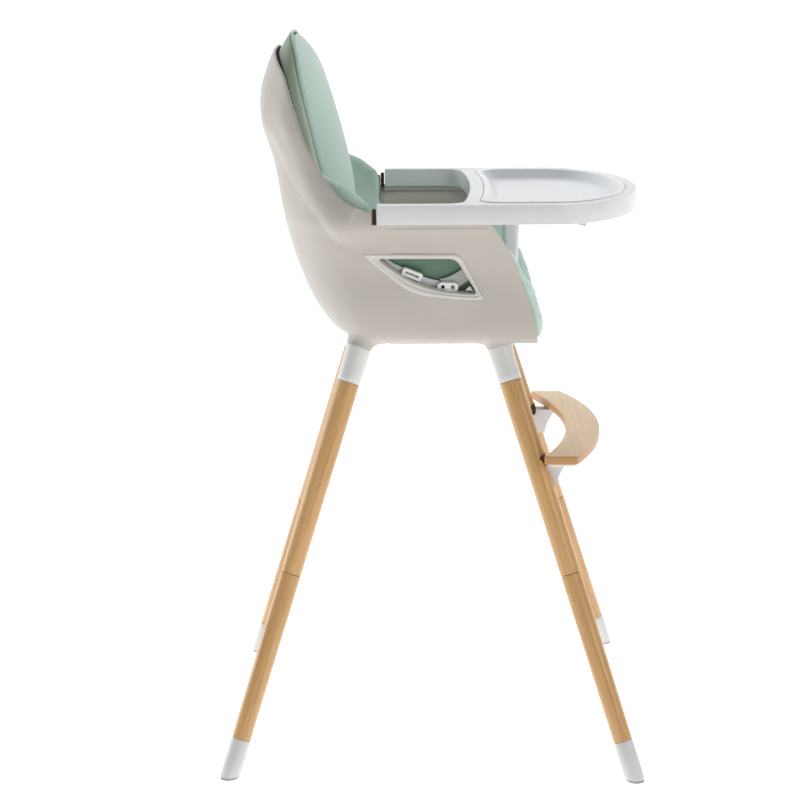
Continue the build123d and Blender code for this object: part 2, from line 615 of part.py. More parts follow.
def latch_pin(side):
    low = INSERT_HALF + POCKET_GAP + TRAY_WALL
    high = TRAY_HALF - TRAY_WALL
    pin = Pos(LEVER_PIVOT_X, (low + high) / 2, LEVER_PIVOT_Z) * (
        Rotation(90, 0, 0) * Cylinder(LEVER_PIN_RADIUS, high - low)
    )
    return mirrored(pin, side)


# ------------------------------------------------------------------ footrest
def crescent(inset):
    """Plan of the footrest: two arcs that follow each other, and cut ends."""
    outer = BOARD_OUTER_X - inset
    inner = BOARD_INNER_X + inset
    half = BOARD_HALF - inset
    outer_end = outer - (BOARD_OUTER_RADIUS - math.sqrt(BOARD_OUTER_RADIUS**2 - half**2))
    inner_end = inner - (BOARD_INNER_RADIUS - math.sqrt(BOARD_INNER_RADIUS**2 - half**2))
    edges = [
        ThreePointArc((outer_end, -half), (outer, 0), (outer_end, half)),
        Line((outer_end, half), (inner_end, half)),
        ThreePointArc((inner_end, half), (inner, 0), (inner_end, -half)),
        Line((inner_end, -half), (outer_end, -half)),
    ]
    face = outline_face(edges)
    return fillet(face.vertices(), BOARD_CORNER)


def footrest_board():
    board = Pos(0, 0, BOARD_TOP - BOARD_THICK) * extrude(crescent(0), BOARD_THICK)
    return chamfer(board.edges().group_by(Axis.Z)[-1], 1.0)


def footrest_plate():
    top = BOARD_TOP - BOARD_THICK
    return Pos(0, 0, top - PLATE_THICK) * extrude(crescent(PLATE_INSET), PLATE_THICK)


def leg_clearance(side_name):
    """Front leg beside the footrest, a hair larger than the wood."""
    low, high = LEG_CLEARANCE_LOW, LEG_CLEARANCE_HIGH
    radii = (leg_radius(low) + LEG_CLEARANCE, leg_radius(high) + LEG_CLEARANCE)
    return leg_round("front", side_name, low, high, *radii)


def footrest_bracket(side_name):
    """Tapered bracket that holds the plate to a front leg."""
    top = BOARD_TOP - BOARD_THICK - PLATE_THICK
    axis_top = leg_point("front", side_name, top)
    front = [(x, top + drop) for x, drop in BRACKET_FRONT]
    outline = outline_face([
        Polyline((axis_top.X, top), front[0]),
        Spline(*front),
        Polyline(front[-1], (axis_top.X + 8, top - BRACKET_DROP), (axis_top.X, top)),
    ])
    y = abs(axis_top.Y)
    body = place_xz(outline, y - BRACKET_WIDTH / 2, y + BRACKET_WIDTH / 2)
    body = mirrored(body, SIDES[side_name])
    return body - leg_clearance(side_name) - bracket_screw(side_name)


def bracket_screw(side_name):
    """Screw along X through a front leg into its bracket."""
    leg = leg_point("front", side_name, BRACKET_SCREW_Z)
    forward = (Align.CENTER, Align.CENTER, Align.MIN)
    shank = Rotation(0, 90, 0) * Cylinder(BRACKET_SCREW_RADIUS, BRACKET_SCREW_LENGTH, align=forward)
    return Pos(leg.X - 2, leg.Y, leg.Z) * shank


def leg_with_screw_hole(side_name):
    return upper_leg("front", side_name) - bracket_screw(side_name)


def footrest_pad(side_name):
    """Dark oval pad between a front leg and the end of the board."""
    leg = leg_point("front", side_name, PAD_Z)
    face = Plane.XZ * SlotOverall(PAD_HIGH, PAD_WIDE, rotation=90)
    body = Pos(PAD_X, leg.Y, PAD_Z) * extrude(face, PAD_DEEP / 2, both=True)
    board = Pos(0, 0, BOARD_TOP - BOARD_THICK - 5) * extrude(crescent(0), BOARD_THICK + 10)
    bracket = footrest_bracket(side_name)
    plate = footrest_plate()
    return body - leg_clearance(side_name) - board - bracket - plate


# ------------------------------------------------------------------ build
def build_legs():
    for row in ROWS:
        for side in SIDES:
            save(f"leg_socket_{row}_{side}", leg_socket(row, side))
            leg = leg_with_screw_hole(side) if row == "front" else upper_leg(row, side)
            save(f"upper_leg_{row}_{side}", leg)
            save(f"lower_leg_{row}_{side}", lower_leg(row, side))
            save(f"foot_cap_{row}_{side}", foot_cap(row, side))
    pairs = [(row, side) for row in ROWS for side in SIDES]
    save("foot_pads", *[foot_pad(*pair) for pair in pairs])
    save("leg_top_studs", *[leg_stud(*pair, WOOD_TOP_Z) for pair in pairs])
    save("leg_joint_studs", *[leg_stud(*pair, LEG_SPLIT_Z) for pair in pairs])
    save("socket_screws", *[socket_screw(*pair) for pair in pairs])


def build_seat():
    outer = seat_body(0)
    floor = SEAT_FLOOR + CUSHION_GAP
    liner = seat_body(LINER_OUTER, floor) - seat_body(LINER_INNER, floor)
    inner = seat_body(LINER_INNER + CUSHION_GAP, floor)
    save("seat_shell", seat_shell(outer))
    save("leg_bosses", *[boss(row, side) for row in ROWS for side in SIDES])
    pad = back_pad(inner)
    save("back_liner", back_liner(liner, pad))
    save("back_pad", pad)
    save("seat_pad", seat_pad(inner))
    for name, side in SIDES.items():
        save(f"opening_trim_{name}", opening_trim(side))
        save(f"side_pad_{name}", side_pad(side, liner))
        save(f"tray_rail_{name}", tray_rail(side))
    save("tray_stops", *[tray_stop(side) for side in SIDES.values()])
    save("rail_screws", *[rail_screw(x, side) for x in RAIL_SCREW_X for side in SIDES.values()])


def build_harness():
    for name, side in SIDES.items():
        strap = waist_strap(side)
        save(f"waist_strap_{name}", strap)
        save(f"strap_slider_{name}", strap_slider(side, strap))
        save(f"waist_clip_{name}", waist_clip(side, strap))
    save("crotch_strap", crotch_strap())
    save("buckle_body", buckle_body())
    save("buckle_button", buckle_button())


def build_tray():
    save("tray_body", tray_body())
    save("tray_insert", tray_insert())
    save("crotch_post", crotch_post())
    save("post_screws", *[post_screw(y) for y in POST_SCREW_Y])
    for name, side in SIDES.items():
        save(f"latch_lever_{name}", latch_lever(side))
    save("latch_pins", *[latch_pin(side) for side in SIDES.values()])


def build_footrest():
    save("footrest_board", footrest_board())
    save("footrest_plate", footrest_plate())
    for name in SIDES:
        save(f"footrest_bracket_{name}", footrest_bracket(name))
    save("bracket_screws", *[bracket_screw(name) for name in SIDES])
    save("footrest_pads", *[footrest_pad(name) for name in SIDES])


def build():
    os.makedirs("parts", exist_ok=True)
    build_legs()
    build_seat()
    build_harness()
    build_tray()
    build_footrest()


build()
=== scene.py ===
"""High chair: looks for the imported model, in the row frame, in metres."""
from math import cos, pi, radians, sin, sqrt

import bmesh
import bpy
import numpy as np
from mathutils import Matrix, Vector
from mathutils.bvhtree import BVHTree


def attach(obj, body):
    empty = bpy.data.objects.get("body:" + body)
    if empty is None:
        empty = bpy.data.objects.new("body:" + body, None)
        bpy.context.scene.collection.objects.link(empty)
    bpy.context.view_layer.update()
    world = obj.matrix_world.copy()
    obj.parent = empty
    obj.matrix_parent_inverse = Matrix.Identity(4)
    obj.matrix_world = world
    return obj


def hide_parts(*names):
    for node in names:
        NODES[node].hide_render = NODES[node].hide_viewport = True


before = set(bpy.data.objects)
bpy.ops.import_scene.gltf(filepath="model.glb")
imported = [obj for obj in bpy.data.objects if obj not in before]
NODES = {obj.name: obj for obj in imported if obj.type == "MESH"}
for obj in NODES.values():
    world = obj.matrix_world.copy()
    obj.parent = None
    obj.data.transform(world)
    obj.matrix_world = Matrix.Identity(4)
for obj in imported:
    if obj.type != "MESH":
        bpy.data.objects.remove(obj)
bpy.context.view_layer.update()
MM = 0.001
SIDES = {"left": 1, "right": -1}
ROWS = {"rear": -1, "front": 1}


# ------------------------------------------------------------------ camera
CAMERA_X, CAMERA_BACK, CAMERA_Z = 0.01238, 2.8, 1.0671
CAMERA_YAW, CAMERA_PITCH, CAMERA_ROLL = -0.02366, 0.21749, 0.00174
CAMERA_LENS, CAMERA_SHIFT = 93.884, (-0.10903, -0.00214)


def add_camera():
    data = bpy.data.cameras.new("camera")
    data.sensor_width = 36.0
    data.lens = CAMERA_LENS
    data.shift_x, data.shift_y = CAMERA_SHIFT
    camera = bpy.data.objects.new("camera", data)
    bpy.context.scene.collection.objects.link(camera)
    yaw, pitch, roll = CAMERA_YAW, CAMERA_PITCH, CAMERA_ROLL
    look = Vector((-sin(yaw) * cos(pitch), cos(yaw) * cos(pitch), -sin(pitch)))
    right = Vector((cos(yaw), sin(yaw), 0.0))
    up = right.cross(look)
    across = right * cos(roll) - up * sin(roll)
    above = right * sin(roll) + up * cos(roll)
    turn = Matrix((across, above, -look)).transposed().to_4x4()
    camera.matrix_world = Matrix.Translation((CAMERA_X, -CAMERA_BACK, CAMERA_Z)) @ turn
    bpy.context.scene.camera = camera


# ------------------------------------------------------------------ materials
def srgb(*values):
    """Linear colour from 0-255 display values."""
    def lin(v):
        v = v / 255.0
        return v / 12.92 if v <= 0.04045 else ((v + 0.055) / 1.055) ** 2.4
    return tuple(lin(v) for v in values) + (1.0,)


class Surface:
    """A procedural material built step by step on one principled shader."""

    def __init__(self, name, roughness=0.5, specular=0.5):
        self.material = bpy.data.materials.new(name)
        self.material.use_nodes = True
        self.tree = self.material.node_tree
        self.shader = self.tree.nodes["Principled BSDF"]
        self.shader.inputs["Roughness"].default_value = roughness
        self.shader.inputs["Specular IOR Level"].default_value = specular
        self.coords = self.node("ShaderNodeTexCoord").outputs["Object"]
        self.normal = None

    def node(self, kind, **inputs):
        made = self.tree.nodes.new(kind)
        for key, value in inputs.items():
            made.inputs[key.replace("_", " ")].default_value = value
        return made

    def link(self, a, b):
        self.tree.links.new(a, b)

    def stretched(self, scale, turn=(0.0, 0.0, 0.0)):
        mapping = self.node("ShaderNodeMapping", Scale=scale, Rotation=turn)
        self.link(self.coords, mapping.inputs["Vector"])
        return mapping.outputs["Vector"]

    def noise(self, scale, detail=3.0, roughness=0.5, vector=None, distortion=0.0):
        noise = self.node("ShaderNodeTexNoise", Scale=scale, Detail=detail, Roughness=roughness,
                          Distortion=distortion)
        self.link(vector or self.coords, noise.inputs["Vector"])
        return noise.outputs["Fac"]

    def ramp(self, value, stops):
        ramp = self.node("ShaderNodeValToRGB")
        self.link(value, ramp.inputs["Fac"])
        band = ramp.color_ramp
        while len(band.elements) < len(stops):
            band.elements.new(0.5)
        for element, (at, colour) in zip(band.elements, stops):
            element.position = at
            element.color = colour if isinstance(colour, tuple) else (colour, colour, colour, 1.0)
        return ramp.outputs["Color"]

    def mix(self, factor, a, b, blend="MIX"):
        mix = self.tree.nodes.new("ShaderNodeMix")
        mix.data_type = "RGBA"
        mix.blend_type = blend
        for socket, value in ((mix.inputs[0], factor), (mix.inputs[6], a), (mix.inputs[7], b)):
            if hasattr(value, "is_linked") or hasattr(value, "links"):
                self.link(value, socket)
            else:
                socket.default_value = value
        return mix.outputs[2]

    def math(self, kind, a, b=0.0):
        made = self.tree.nodes.new("ShaderNodeMath")
        made.operation = kind
        for socket, value in zip(made.inputs, (a, b)):
            if hasattr(value, "links"):
                self.link(value, socket)
            else:
                socket.default_value = value
        return made.outputs[0]

    def colour(self, value):
        target = self.shader.inputs["Base Color"]
        if hasattr(value, "links"):
            self.link(value, target)
        else:
            target.default_value = value

    def rough(self, value):
        self.link(value, self.shader.inputs["Roughness"])

    def bump(self, height, strength, distance):
        bump = self.node("ShaderNodeBump", Strength=strength, Distance=distance)
        self.link(height, bump.inputs["Height"])
        if self.normal is not None:
            self.link(self.normal, bump.inputs["Normal"])
        self.normal = bump.outputs["Normal"]
        self.link(self.normal, self.shader.inputs["Normal"])


def plastic(name, light, dark, roughness=0.42, grain=900.0, depth=0.00006, coat=0.0):
    """Moulded plastic: faint mottling, fine spark texture, uneven gloss."""
    s = Surface(name, roughness, 0.45)
    s.colour(s.mix(s.ramp(s.noise(9.0, 4.0), [(0.35, 0.0), (0.65, 1.0)]), light, dark))
    s.rough(s.ramp(s.noise(26.0, 3.0), [(0.0, roughness - 0.05), (1.0, roughness + 0.05)]))
    s.bump(s.noise(grain, 2.0), 0.35, depth)
    s.bump(s.noise(14.0, 2.0), 0.12, 0.0006)
    s.shader.inputs["Coat Weight"].default_value = coat
    s.shader.inputs["Coat Roughness"].default_value = 0.25
    return s.material


def leather(name, light, dark, sheen=0.25):
    """Synthetic leather: pebbled grain, soft creases, slight colour drift."""
    s = Surface(name, 0.5, 0.42)
    drift = s.ramp(s.noise(7.0, 4.0, 0.55), [(0.3, 0.0), (0.7, 1.0)])
    s.colour(s.mix(drift, light, dark))
    cells = s.node("ShaderNodeTexVoronoi", Scale=620.0)
    s.link(s.coords, cells.inputs["Vector"])
    pebble = s.math("MULTIPLY", cells.outputs["Distance"], s.noise(300.0, 2.0))
    s.rough(s.ramp(pebble, [(0.0, 0.44), (0.5, 0.58)]))
    s.bump(pebble, 0.5, 0.00016)
    s.bump(s.noise(38.0, 3.0, 0.55, distortion=0.6), 0.22, 0.0016)
    s.shader.inputs["Sheen Weight"].default_value = sheen
    s.shader.inputs["Sheen Roughness"].default_value = 0.45
    return s.material


def wood(name, lit, mid, line, vector_scale=(1.0, 1.0, 0.035), grain=210.0):
    """Lacquered straight-grained wood; the grain runs along the object's Z."""
    s = Surface(name, 0.42, 0.4)
    along = s.stretched(vector_scale)
    streak = s.noise(grain, 5.0, 0.6, along)
    broad = s.noise(24.0, 3.0, 0.5, along, 0.8)
    flecks = s.noise(620.0, 2.0, 0.5, s.stretched((1.0, 1.0, 0.09)))
    base = s.mix(s.ramp(broad, [(0.32, 0.0), (0.68, 1.0)]), lit, mid)
    lined = s.mix(s.math("MULTIPLY", s.ramp(streak, [(0.48, 0.0), (0.72, 1.0)]), 0.55), base, line)
    fleck = s.ramp(flecks, [(0.66, 0.0), (0.74, 1.0)])
    s.colour(s.mix(s.math("MULTIPLY", fleck, 0.35), lined, line))
    s.rough(s.ramp(streak, [(0.3, 0.36), (0.7, 0.5)]))
    s.bump(streak, 0.12, 0.0003)
    s.bump(fleck, 0.10, 0.0002)
    s.shader.inputs["Coat Weight"].default_value = 0.6
    s.shader.inputs["Coat Roughness"].default_value = 0.2
    return s.material


def ply(name):
    """Bent plywood: pale face veneer on top, banded layers on the edges."""
    s = Surface(name, 0.45, 0.4)
    along = s.stretched((1.0, 0.02, 1.0))
    streak = s.noise(200.0, 5.0, 0.6, along)
    face = s.mix(s.ramp(streak, [(0.4, 0.0), (0.75, 1.0)]), srgb(228, 191, 138), srgb(216, 175, 120))
    split = s.node("ShaderNodeSeparateXYZ")
    s.link(s.coords, split.inputs["Vector"])
    layer = s.math("SINE", s.math("MULTIPLY", split.outputs["Z"], 2 * pi / 0.0026))
    fibres = s.noise(900.0, 2.0, 0.5, s.stretched((1.0, 1.0, 0.4)))
    bands = s.mix(s.ramp(layer, [(0.35, 0.0), (0.65, 1.0)]), srgb(196, 142, 84), srgb(222, 178, 122))
    edge = s.mix(s.math("MULTIPLY", fibres, 0.5), bands, srgb(166, 106, 56))
    facing = s.node("ShaderNodeNewGeometry")
    upright = s.node("ShaderNodeSeparateXYZ")
    s.link(facing.outputs["Normal"], upright.inputs["Vector"])
    on_face = s.ramp(s.math("ABSOLUTE", upright.outputs["Z"]), [(0.55, 0.0), (0.8, 1.0)])
    s.colour(s.mix(on_face, edge, face))
    s.bump(streak, 0.12, 0.0003)
    s.shader.inputs["Coat Weight"].default_value = 0.3
    s.shader.inputs["Coat Roughness"].default_value = 0.25
    return s.material


def webbing(name, light, dark):
    """Woven webbing from the strip's own UVs: diagonal ribs and raised edges."""
    s = Surface(name, 0.85, 0.2)
    uv = s.node("ShaderNodeUVMap").outputs["UV"]
    split = s.node("ShaderNodeSeparateXYZ")
    s.link(uv, split.inputs["Vector"])
    warp = s.math("SINE", s.math("MULTIPLY", split.outputs["X"], 2 * pi / 0.0016))
    weft = s.math("SINE", s.math("MULTIPLY", split.outputs["Y"], 2 * pi / 0.0021))
    rib = s.math("MULTIPLY", warp, weft)
    s.colour(s.mix(s.ramp(rib, [(0.2, 0.0), (0.8, 1.0)]), dark, light))
    s.bump(rib, 0.6, 0.0003)
    s.bump(s.noise(240.0, 3.0), 0.25, 0.0003)
    s.shader.inputs["Sheen Weight"].default_value = 0.3
    return s.material


def metal(name):
    s = Surface(name, 0.34, 0.5)
    s.shader.inputs["Metallic"].default_value = 1.0
    brushed = s.noise(1400.0, 2.0, 0.5, s.stretched((1.0, 1.0, 0.05)))
    s.colour(s.mix(brushed, srgb(176, 178, 180), srgb(140, 142, 146)))
    s.rough(s.ramp(brushed, [(0.3, 0.28), (0.7, 0.42)]))
    s.bump(brushed, 0.15, 0.0001)
    return s.material


def rubber(name, dark, light):
    s = Surface(name, 0.8, 0.3)
    s.colour(s.mix(s.noise(60.0, 3.0), dark, light))
    s.bump(s.noise(1200.0, 2.0), 0.5, 0.0002)
    return s.material


def make_materials():
    m = {}
    m["shell"] = plastic("shell_plastic", srgb(190, 184, 176), srgb(184, 178, 170), 0.4)
    m["trim"] = plastic("trim_plastic", srgb(210, 207, 201), srgb(205, 202, 196), 0.36)
    m["white"] = plastic("collar_plastic", srgb(230, 231, 229), srgb(223, 224, 222), 0.36, coat=0.15)
    m["tray"] = plastic("tray_plastic", srgb(232, 232, 233), srgb(227, 227, 229), 0.34, coat=0.15)
    m["insert"] = plastic("insert_plastic", srgb(226, 230, 234), srgb(221, 225, 230), 0.3, coat=0.2)
    m["grey"] = plastic("grey_plastic", srgb(214, 212, 212), srgb(204, 202, 202), 0.45)
    m["harness"] = plastic("harness_plastic", srgb(236, 237, 235), srgb(226, 227, 225), 0.38)
    m["mint"] = leather("mint_leather", srgb(203, 226, 214), srgb(194, 219, 206))
    m["liner"] = leather("liner_leather", srgb(146, 162, 142), srgb(132, 150, 130))
    # Dark green for the side pads' faces seen through the side openings: painted shade for the shaded inside
    # of the bucket.
    m["backing"] = leather("backing_cloth", srgb(96, 128, 106), srgb(82, 112, 92), 0.1)
    m["piping"] = leather("piping_leather", srgb(176, 204, 190), srgb(166, 194, 180))
    m["wood"] = wood("leg_wood", srgb(222, 178, 120), srgb(208, 159, 98), srgb(160, 102, 50))
    m["ply"] = ply("plywood")
    m["webbing"] = webbing("strap_webbing", srgb(206, 210, 206), srgb(170, 176, 170))
    m["white_webbing"] = webbing("white_webbing", srgb(232, 233, 231), srgb(206, 208, 206))
    m["steel"] = metal("steel")
    m["rubber"] = rubber("rubber", srgb(176, 176, 174), srgb(190, 190, 188))
    # Dark brown rubber for the footrest pads and tray stops; the dark brown is painted shade for the shadowed
    # gaps these parts fill.
    m["gap_shade_dark"] = rubber("dark_rubber_gap_shade", srgb(62, 34, 24), srgb(84, 50, 36))
    # Near-black green for the liner band's strip along the shell's rim: painted shade for the shadowed gap
    # under the rim lip.
    m["edging"] = leather("edging_tape", srgb(44, 52, 46), srgb(34, 42, 36), 0.1)
    m["thread"] = leather("thread", srgb(214, 232, 222), srgb(190, 212, 200), 0.4)
    return m


# ------------------------------------------------------------------ mesh helpers
def new_object(name, mesh):
    obj = bpy.data.objects.new(name, mesh)
    bpy.context.scene.collection.objects.link(obj)
    return obj


def face_outwards(mesh):
    work = bmesh.new()
    work.from_mesh(mesh)
    bmesh.ops.recalc_face_normals(work, faces=work.faces)
    work.to_mesh(mesh)
    work.free()


def add_object(name, mesh, material, body="chair", replaces=()):
    obj = new_object(name, mesh)
    obj.data.materials.clear()
    obj.data.materials.append(material)
    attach(obj, body)
    if replaces:
        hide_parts(*replaces)
    return obj


def mesh_from(name, verts, faces, sharp=None):
    mesh = bpy.data.meshes.new(name)
    mesh.from_pydata([tuple(v) for v in verts], [], faces)
    mesh.validate()
    mesh.shade_smooth()
    if sharp:
        mesh.set_sharp_from_angle(angle=radians(sharp))
    return mesh


def baked(obj):
    """The object's mesh with its modifiers applied, which are then removed."""
    bpy.context.view_layer.update()
    graph = bpy.context.evaluated_depsgraph_get()
    mesh = bpy.data.meshes.new_from_object(obj.evaluated_get(graph), depsgraph=graph)
    obj.modifiers.clear()
    obj.data = mesh
    return obj


def loft_rings(rings, closed=True, caps=True):
    """Vertices and faces of a surface through rings of equal length."""
    count = len(rings[0])
    verts = [p for ring in rings for p in ring]
    faces = []
    span = count if closed else count - 1
    for r in range(len(rings) - 1):
        for i in range(span):
            j = (i + 1) % count
            faces.append((r * count + i, r * count + j, (r + 1) * count + j, (r + 1) * count + i))
    if caps:
        faces.append(tuple(reversed(range(count))))
        faces.append(tuple((len(rings) - 1) * count + i for i in range(count)))
    return verts, faces


def lathe(name, profile, segments=72):
    """Surface of revolution about Z through (height, radius) points."""
    rings = [[(r * cos(2 * pi * i / segments), r * sin(2 * pi * i / segments), h)
              for i in range(segments)] for h, r in profile]
    return mesh_from(name, *loft_rings(rings), sharp=50)


def smooth_path(points, per_span=8, closed=False):
    """Catmull-Rom curve through points of any dimension."""
    p = np.array(points, float)
    n = len(p)
    out = []
    for i in range(n if closed else n - 1):
        get = (lambda k: p[k % n]) if closed else (lambda k: p[min(max(k, 0), n - 1)])
        a, b, c, d = get(i - 1), get(i), get(i + 1), get(i + 2)
        for k in range(per_span):
            t = k / per_span
            out.append(0.5 * ((2 * b) + (c - a) * t + (2 * a - 5 * b + 4 * c - d) * t ** 2
                              + (3 * b - a - 3 * c + d) * t ** 3))
    if not closed:
        out.append(p[-1])
    return np.array(out)


def resample(path, count, closed=False):
    """Points at equal spacing along a path."""
    p = np.array(path, float)
    if closed:
        p = np.vstack([p, p[:1]])
    steps = np.linalg.norm(np.diff(p, axis=0), axis=1)
    at = np.concatenate([[0.0], np.cumsum(steps)])
    want = np.linspace(0.0, at[-1], count + 1 if closed else count)
    if closed:
        want = want[:-1]
    return np.stack([np.interp(want, at, p[:, k]) for k in range(p.shape[1])], axis=1)


def tube(name, path, radius, sides=10):
    """Round bead along an open path."""
    p = np.array(path, float)
    tangents = np.gradient(p, axis=0)
    tangents /= np.linalg.norm(tangents, axis=1)[:, None]
    ref = np.array((0.0, 1.0, 0.0)) if abs(tangents[0][1]) < 0.9 else np.array((1.0, 0.0, 0.0))
    rings = []
    for k in range(len(p)):
        ref = ref - tangents[k] * ref.dot(tangents[k])
        ref /= np.linalg.norm(ref)
        other = np.cross(tangents[k], ref)
        ring = [tuple(p[k] + radius * (cos(2 * pi * i / sides) * ref + sin(2 * pi * i / sides) * other))
                for i in range(sides)]
        rings.append(ring)
    return mesh_from(name, *loft_rings(rings))


def bevelled_copy(node, name, width, segments=3, angle=35.0, weld=0.00002):
    """A CAD node's mesh with its hard edges rounded."""
    mesh = NODES[node].data.copy()
    mesh.name = name
    work = bmesh.new()
    work.from_mesh(mesh)
    bmesh.ops.remove_doubles(work, verts=work.verts, dist=weld)
    bmesh.ops.dissolve_limit(work, angle_limit=radians(0.6), verts=work.verts, edges=work.edges)
    work.to_mesh(mesh)
    work.free()
    obj = new_object(name, mesh)
    bevel = obj.modifiers.new("bevel", "BEVEL")
    bevel.width = width
    bevel.segments = segments
    bevel.limit_method = "ANGLE"
    bevel.angle_limit = radians(angle)
    bevel.miter_outer = "MITER_ARC"
    bevel.use_clamp_overlap = True
    bevel.harden_normals = False
    baked(obj)
    mesh = obj.data
    mesh.shade_smooth()
    mesh.set_sharp_from_angle(angle=radians(38))
    bpy.data.objects.remove(obj)
    return mesh


def finish_node(node, material, body, width, segments=3, angle=35.0):
    mesh = bevelled_copy(node, f"{node}_form", width, segments, angle)
    return add_object(f"{node}_form", mesh, material, body, replaces=[node])


# ------------------------------------------------------------------ legs
LEG_TOP, LEG_FOOT_X, LEG_FOOT_Y = (105.0, 120.0, 502.0), 262.5, {"rear": 247.0, "front": 271.0}
LEG_FOOT_Z, LEG_RADII = 3.0, (15.0, 12.0)
SOCKET_TOP, WOOD_TOP, SPLIT, CAP_TOP, PAD_TOP = 539.0, 497.5, 256.0, 48.5, 3.0


def leg_point(row, side, z):
    share = (LEG_TOP[2] - z) / (LEG_TOP[2] - LEG_FOOT_Z)
    x = ROWS[row] * (LEG_TOP[0] + (LEG_FOOT_X - LEG_TOP[0]) * share)
    y = SIDES[side] * (LEG_TOP[1] + (LEG_FOOT_Y[row] - LEG_TOP[1]) * share)
    return Vector((x, y, z)) * MM


def leg_radius(z):
    share = (LEG_TOP[2] - z) / (LEG_TOP[2] - LEG_FOOT_Z)
    return (LEG_RADII[0] + (LEG_RADII[1] - LEG_RADII[0]) * share) * MM


def leg_frame(row, side):
    """Matrix whose Z runs up the leg's axis from its foot."""
    foot = leg_point(row, side, 0.0)
    up = (leg_point(row, side, LEG_TOP[2]) - foot).normalized()
    across = Vector((0, 1, 0)).cross(up).normalized()
    return Matrix.Translation(foot) @ Matrix((across, up.cross(across), up)).transposed().to_4x4()


def add_legs(mats):
    for row in ROWS:
        for side in SIDES:
            place = leg_frame(row, side)
            foot = leg_point(row, side, 0.0)

            def height(z):
                return (leg_point(row, side, z) - foot).length

            def turned(kind, profile, material):
                name = f"{kind}_{row}_{side}"
                obj = new_object(f"{name}_form", lathe(f"{name}_form", profile))
                obj.data.materials.append(material)
                obj.matrix_world = place
                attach(obj, "chair")
                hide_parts(name)
                return obj

            def stick(low, high, low_radius, high_radius, edge=0.0006):
                return [(low, low_radius - 2 * edge), (low + 0.3 * edge, low_radius - edge),
                        (low + edge, low_radius - 0.2 * edge), (low + 2 * edge, low_radius),
                        (high - 2 * edge, high_radius), (high - edge, high_radius - 0.2 * edge),
                        (high - 0.3 * edge, high_radius - edge), (high, high_radius - 2 * edge)]

            top, split, cap = height(WOOD_TOP), height(SPLIT), height(CAP_TOP)
            turned("upper_leg", stick(split, top, leg_radius(SPLIT), leg_radius(WOOD_TOP)),
                   mats["wood"])
            turned("lower_leg", stick(cap, split - 0.0004, leg_radius(CAP_TOP), leg_radius(SPLIT)),
                   mats["wood"])
            low, high = leg_radius(WOOD_TOP) + 0.0004, 0.0165
            turned("leg_socket",
                   [(top + 0.0002, low - 0.0014), (top + 0.0002, low - 0.0004), (top + 0.0007, low),
                    (top + 0.010, low + 0.0002), (height(520.0), 0.0159),
                    (height(SOCKET_TOP) - 0.001, high), (height(SOCKET_TOP) + 0.004, high)],
                   mats["white"])
            add_foot(row, side, place, foot, height, mats)


def add_foot(row, side, place, foot, height, mats):
    """Foot cap cut level with the floor, ending at the top of the rubber pad under it."""
    segments = 72
    inverse = place.inverted()

    def ring(radius, h):
        return [Vector((radius * cos(2 * pi * i / segments), radius * sin(2 * pi * i / segments), h))
                for i in range(segments)]

    def level(points, z):
        """Slides points along the leg's axis down to a level plane."""
        up = (place.to_3x3() @ Vector((0, 0, 1))).normalized()
        out = []
        for p in points:
            world = place @ p
            out.append(inverse @ (world + up * ((z - world.z) / up.z)))
        return out

    cap = height(CAP_TOP)
    wide = leg_radius(CAP_TOP) + 0.0003
    narrow = 0.0127
    rings = [level(ring(narrow - 0.0012, 0), PAD_TOP * MM),
             level(ring(narrow - 0.0003, 0), PAD_TOP * MM + 0.0003),
             level(ring(narrow, 0), PAD_TOP * MM + 0.0012), level(ring(narrow + 0.0002, 0), 0.016),
             ring(wide, cap - 0.001), ring(wide - 0.0003, cap - 0.0003), ring(wide - 0.001, cap),
             ring(wide - 0.003, cap)]
    name = f"foot_cap_{row}_{side}"
    obj = new_object(f"{name}_form", mesh_from(f"{name}_form", *loft_rings(rings), sharp=50))
    obj.data.materials.append(mats["white"])
    obj.matrix_world = place
    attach(obj, "chair")
    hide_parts(name)


# ------------------------------------------------------------------ seat shell
# Horizontal sections, each (z, rearmost x, half width, corner depth), in mm.
SEAT_SECTIONS = np.array((
    (550.0, -100.0, 130.0, 62.0), (558.0, -121.0, 145.0, 74.0), (570.0, -134.0, 153.0, 80.0),
    (588.0, -147.0, 159.0, 86.0), (610.0, -159.0, 165.0, 92.0), (651.0, -174.5, 176.0, 98.0),
    (696.0, -187.0, 198.0, 104.0), (719.0, -191.5, 212.0, 108.0), (757.0, -197.5, 205.0, 110.0),
    (785.0, -203.0, 195.0, 110.0), (806.0, -210.0, 188.0, 109.0), (830.0, -217.3, 181.0, 107.0),
    (852.0, -219.5, 176.0, 105.0), (877.0, -217.3, 168.0, 102.0), (903.0, -209.5, 160.0, 98.0),
    (929.0, -197.5, 150.0, 92.0), (962.0, -168.0, 134.0, 80.0),
))
RIM_LINE = ((-191.0, 942.0), (-191.0, 915.0), (-184.0, 891.0), (-165.0, 846.0), (-147.5, 803.5),
            (-117.5, 757.0), (-101.0, 741.5), (-90.0, 736.0), (-72.0, 731.0))
FRONT_EDGE = ((77.0, 717.0), (102.5, 674.0), (120.0, 630.0), (134.0, 588.0), (139.5, 550.0))
ARCH_BASE, ARCH_TOP, ARCH_HALF = 797.0, 928.0, 190.0
ARM_REAR, ARM_TOP, SEAT_BOTTOM = -72.0, 717.0, 550.0
SHELL_WALL, RIM_BULGE = 4.0, 1.15
BOSS_SPREAD, BOSS_LEAN = 0.043, 0.006
WING_LINE = ((-199.0, 815.0), (-182.0, 779.0), (-162.0, 750.0), (-138.0, 723.0),
             (-113.0, 692.0), (-76.0, 686.0), (-40.0, 688.0))
WING_SWELL, WING_RISE, WING_HEAD, WING_BACK = 7.0, 12.0, 925.0, 60.0
